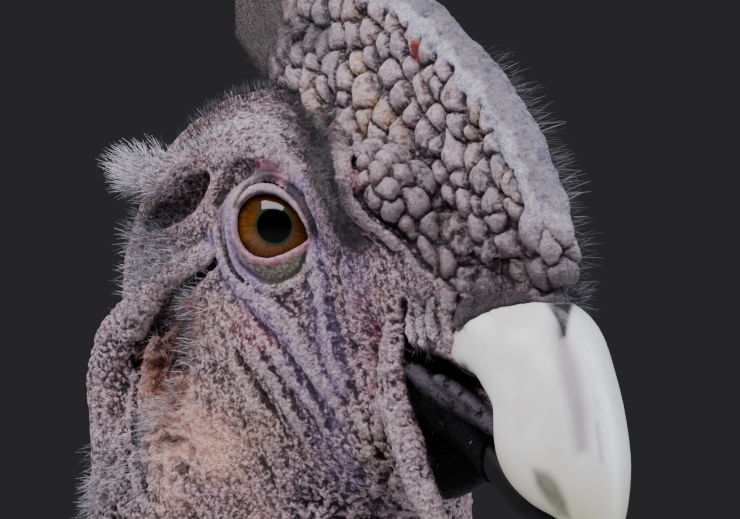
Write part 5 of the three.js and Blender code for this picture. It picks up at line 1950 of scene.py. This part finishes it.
# Places spread over a skin: seeded draws by area, then kept apart
def spread(points, quads, count, apart, seed, keep):
    draw = np.random.default_rng(seed)
    corners = points[quads]
    outs, area = facesOf(corners)
    spots, outs = scattered(draw, corners, outs, area, count * 6)
    inside = keep(spots, outs)
    spots, outs = spots[inside], outs[inside]
    taken, kept = {}, []
    gaps = apart(spots)
    size = gaps.max()
    around = [np.array(offset) - 1 for offset in np.ndindex(3, 3, 3)]
    for i, (spot, near) in enumerate(zip(spots, gaps)):
        cell = (spot // size).astype(int)
        close = [j for offset in around for j in taken.get(tuple(cell + offset), ())]
        if close and np.min(np.sum((spots[close] - spot) ** 2, 1)) < near ** 2:
            continue
        taken.setdefault(tuple(cell), []).append(i)
        kept.append(i)
        if len(kept) >= count:
            break
    return spots[kept], outs[kept]


# A small vane's corners: places across it, and which of them are on its top
tuftEdges = np.array([-1, 0, 1, 1, 0, -1])
tuftTop = np.array([1, 1, 1, 0, 0, 0])


# Small vanes from roots along ways, bent back to the body, in the unit of the points
def vaneRings(roots, outs, ways, long, half, lift, sag, thick, rows=6,
              profile=((0, 0.5), (0.4, 1), (0.8, 0.85), (1, 0.15))):
    ways = ways - outs * np.einsum("ij,ij->i", ways, outs)[:, None]
    ways /= np.maximum(np.linalg.norm(ways, axis=1, keepdims=True), 1e-9)
    sides = np.cross(ways, outs)
    profile = np.array(profile)
    t = np.linspace(0, 1, rows)
    wide = np.interp(t, profile[:, 0], profile[:, 1])
    edges = tuftEdges
    long, half, lift, sag = (np.broadcast_to(v, len(roots))[:, None, None, None]
                             for v in (long, half, lift, sag))
    spine = roots[:, None, None, :] + ways[:, None, None, :] * long * t[None, :, None, None]
    height = lift * t[None, :, None, None] - sag * (t ** 2)[None, :, None, None]
    height = height + (tuftTop * thick + (1 - edges ** 2) * half[:, :, :, 0] * 0.22)[..., None]
    across = sides[:, None, None, :] * half * (wide[:, None] * edges)[None, :, :, None]
    return spine + outs[:, None, None, :] * height + across


def contourFeathers():
    def bare(spots, outs):
        s = (spots - np.array(wing["front"])) @ wingWay
        over = (spots - np.array(wing["front"])) @ wingOver
        wide, tall = eased(wing["stops"], wing["wide"], s), eased(wing["stops"], wing["tall"], s)
        angle = np.degrees(np.arctan2(over / tall, np.abs(spots[:, 0]) / wide))
        under = (s > 45) & (s < 380) & (angle > wing["angles"][0] + 9) & (angle < wing["angles"][1] - 7)
        return ~under & (spots[:, 2] < 652) & (spots[:, 2] > 150)

    def gap(spots):
        return np.where(spots[:, 2] > 560, 9.0, 12.5)

    spots, outs = spread(bodyPoints, bodyQuads, 2600, gap, 5, bare)
    draw = np.random.default_rng(6)
    low = smoothStep(-spots[:, 2], -330, -230)[:, None]
    ways = wingWay * (1 - low) + np.array((0, 0.25, -1.0)) * low + draw.normal(0, 0.05, spots.shape)
    long = np.where(spots[:, 2] > 560, 34, 48) * draw.uniform(0.85, 1.15, len(spots))
    long = np.minimum(long, np.maximum(14, (spots[:, 2] - 118) * 0.8))
    rings = vaneRings(spots - outs * 1.0, outs, ways, long, long * 0.27, 10.5, 6.5, 0.5)
    order = np.broadcast_to(tuftEdges, rings.shape[:3])
    shade = draw.normal(0.5, 0.12, len(spots))[:, None, None]
    addCoat("contour_feathers", fromBody(rings), fromBody(spots), blackStuff, (),
            {"across": order, "shade": shade})
    print("contour feathers", len(spots))


contourFeathers()


# The ruff: locks of down on a slanting ring round the foot of the neck
ruff = {"middle": (0, -138, 656), "radius": 62, "tube": 19, "tilt": 0.42, "locks": 1500}


# Places round the ruff's ring, by angle, distance from its middle and rise over its plane
def onRuff(around, radius, rise):
    c, s = math.cos(ruff["tilt"]), math.sin(ruff["tilt"])
    back = radius * np.sin(around)
    place = np.stack([radius * np.cos(around), back * c - rise * s, back * s + rise * c], -1)
    return np.array(ruff["middle"]) + place


def ruffLocks():
    draw = np.random.default_rng(11)
    n = ruff["locks"]
    around = draw.uniform(0, 2 * math.pi, n)
    turned = draw.uniform(-0.5, 3.4, n)
    inner = ruff["tube"] * 0.8
    ring = onRuff(around, ruff["radius"], 0)
    roots = onRuff(around, ruff["radius"] + inner * np.cos(turned), inner * np.sin(turned))
    outs = (roots - ring) / np.linalg.norm(roots - ring, axis=1, keepdims=True)
    outward = onRuff(around, ruff["radius"] + 10, 0) - ring
    ways = outward / 10 + np.array((0, 0, -0.35)) + draw.normal(0, 0.16, roots.shape)
    long = draw.uniform(26, 42, n)
    rings = vaneRings(roots, outs, ways, long, draw.uniform(3.2, 5.5, n), 9, 16, 0.6, 6,
                      ((0, 0.5), (0.3, 1), (0.7, 0.8), (1, 0.1)))
    order = np.broadcast_to(tuftEdges, rings.shape[:3])
    addCoat("ruff_down", fromBody(rings), fromBody(roots), downStuff, ("ruff",),
            {"across": order, "shade": draw.normal(0.5, 0.12, n)[:, None, None]})


# A soft ring under the locks, so that no gap shows between them
def ruffCore(steps=64, sides=20):
    around = np.linspace(0, 2 * math.pi, steps, endpoint=False)[:, None]
    turned = np.linspace(0, 2 * math.pi, sides, endpoint=False)[None, :]
    tube = ruff["tube"] - 1.5
    one, two = (np.broadcast_to(v, (steps, sides)) for v in (around, turned))
    radius = ruff["radius"] + tube * np.cos(two) + 1.2 * np.sin(one * 9 + two * 2)
    points = onRuff(one, radius, tube * np.sin(two))
    i, j = np.meshgrid(np.arange(steps), np.arange(sides), indexing="ij")
    here, later, after = i * sides, (i + 1) % steps * sides, (j + 1) % sides
    quads = np.stack([here + j, later + j, later + after, here + after], -1).reshape(-1, 4)
    zero = np.zeros(steps * sides)
    addPiece("ruff_core", fromBody(points.reshape(-1, 3)), [quads], downStuff, ("ruff",),
             marks={"along": zero, "across": zero, "shade": zero + 0.4})


ruffLocks()
ruffCore()
print("ruff made")


# Floor and light
def floorMaterial():
    material, floor = startMaterial("paleMattFloor")
    noise = noiseIn(material, objectPlace(material), 3.0, 3.0)
    colour = ramped(material, noise, 0.3, 0.7, ("#c6c4c0", "#d0ceca"))
    return dress(material, floor, {"Base Color": colour, "Roughness": 0.85})


floorRadii, floorSides = [0.6, 1.5, 3.0, 6.0], 96
ring = np.linspace(0, 2 * math.pi, floorSides, endpoint=False)
floorPoints = [(0, 0, 0)] + [(r * math.cos(a), r * math.sin(a), 0) for r in floorRadii for a in ring]
pairs = [(1 + j, 1 + (j + 1) % floorSides) for j in range(floorSides)]
floorFaces = [[(0, a, b) for a, b in pairs],
              [(i + a, i + floorSides + a, i + floorSides + b, i + b)
               for i in range(0, (len(floorRadii) - 1) * floorSides, floorSides) for a, b in pairs]]
floorMesh = meshData("floor", floorPoints, floorFaces)
floorMesh.materials.append(floorMaterial())
floor = bpy.data.objects.new("floor", floorMesh)
bpy.context.scene.collection.objects.link(floor)

# Soft boxes: right, nearer and up from the head as the camera sees it, in metres, with width, height,
# watts and colour
lights = {
    "key": ((-0.75, 1.35, 1.85), 2.8, 0.8, 97, "#f8f6ff"),
    "rim": ((2.0, -0.2, 0.9), 0.6, 1.4, 48, "#dfe7ff"),
    "back": ((-1.9, -0.9, 0.9), 1.0, 1.2, 22, "#eef2ff"),
}
sky = {"high": ("#e9edff", 0.46), "low": ("#8f8f94", 0.09), "from": 0.25, "to": 0.7}
for name, (spot, wide, tall, watts, code) in lights.items():
    lamp = bpy.data.lights.new(name, "AREA")
    lamp.shape = "RECTANGLE"
    lamp.size, lamp.size_y = wide, tall
    lamp.energy = watts
    lamp.color = hexColour(code)[:3]
    holder = bpy.data.objects.new(name, lamp)
    way = spot[0] * viewRight - spot[1] * viewAhead + spot[2] * viewUp
    holder.location = headSpot + way
    holder.rotation_mode = "QUATERNION"
    holder.rotation_quaternion = Vector(-way).to_track_quat("-Z", "Y")
    bpy.context.scene.collection.objects.link(holder)
world = bpy.data.worlds.new("studio")
world.use_nodes = True
place = addNode(world, "ShaderNodeTexCoord").outputs["Generated"]
height = addNode(world, "ShaderNodeSeparateXYZ", {0: place}).outputs["Z"]
rise = ranged(world, height, sky["from"], sky["to"])
dress(world, world.node_tree.nodes["Background"], {
    "Color": over(world, sky["low"][0], sky["high"][0], rise),
    "Strength": ranged(world, rise, 0.0, 1.0, sky["low"][1], sky["high"][1]),
})
bpy.context.scene.world = world
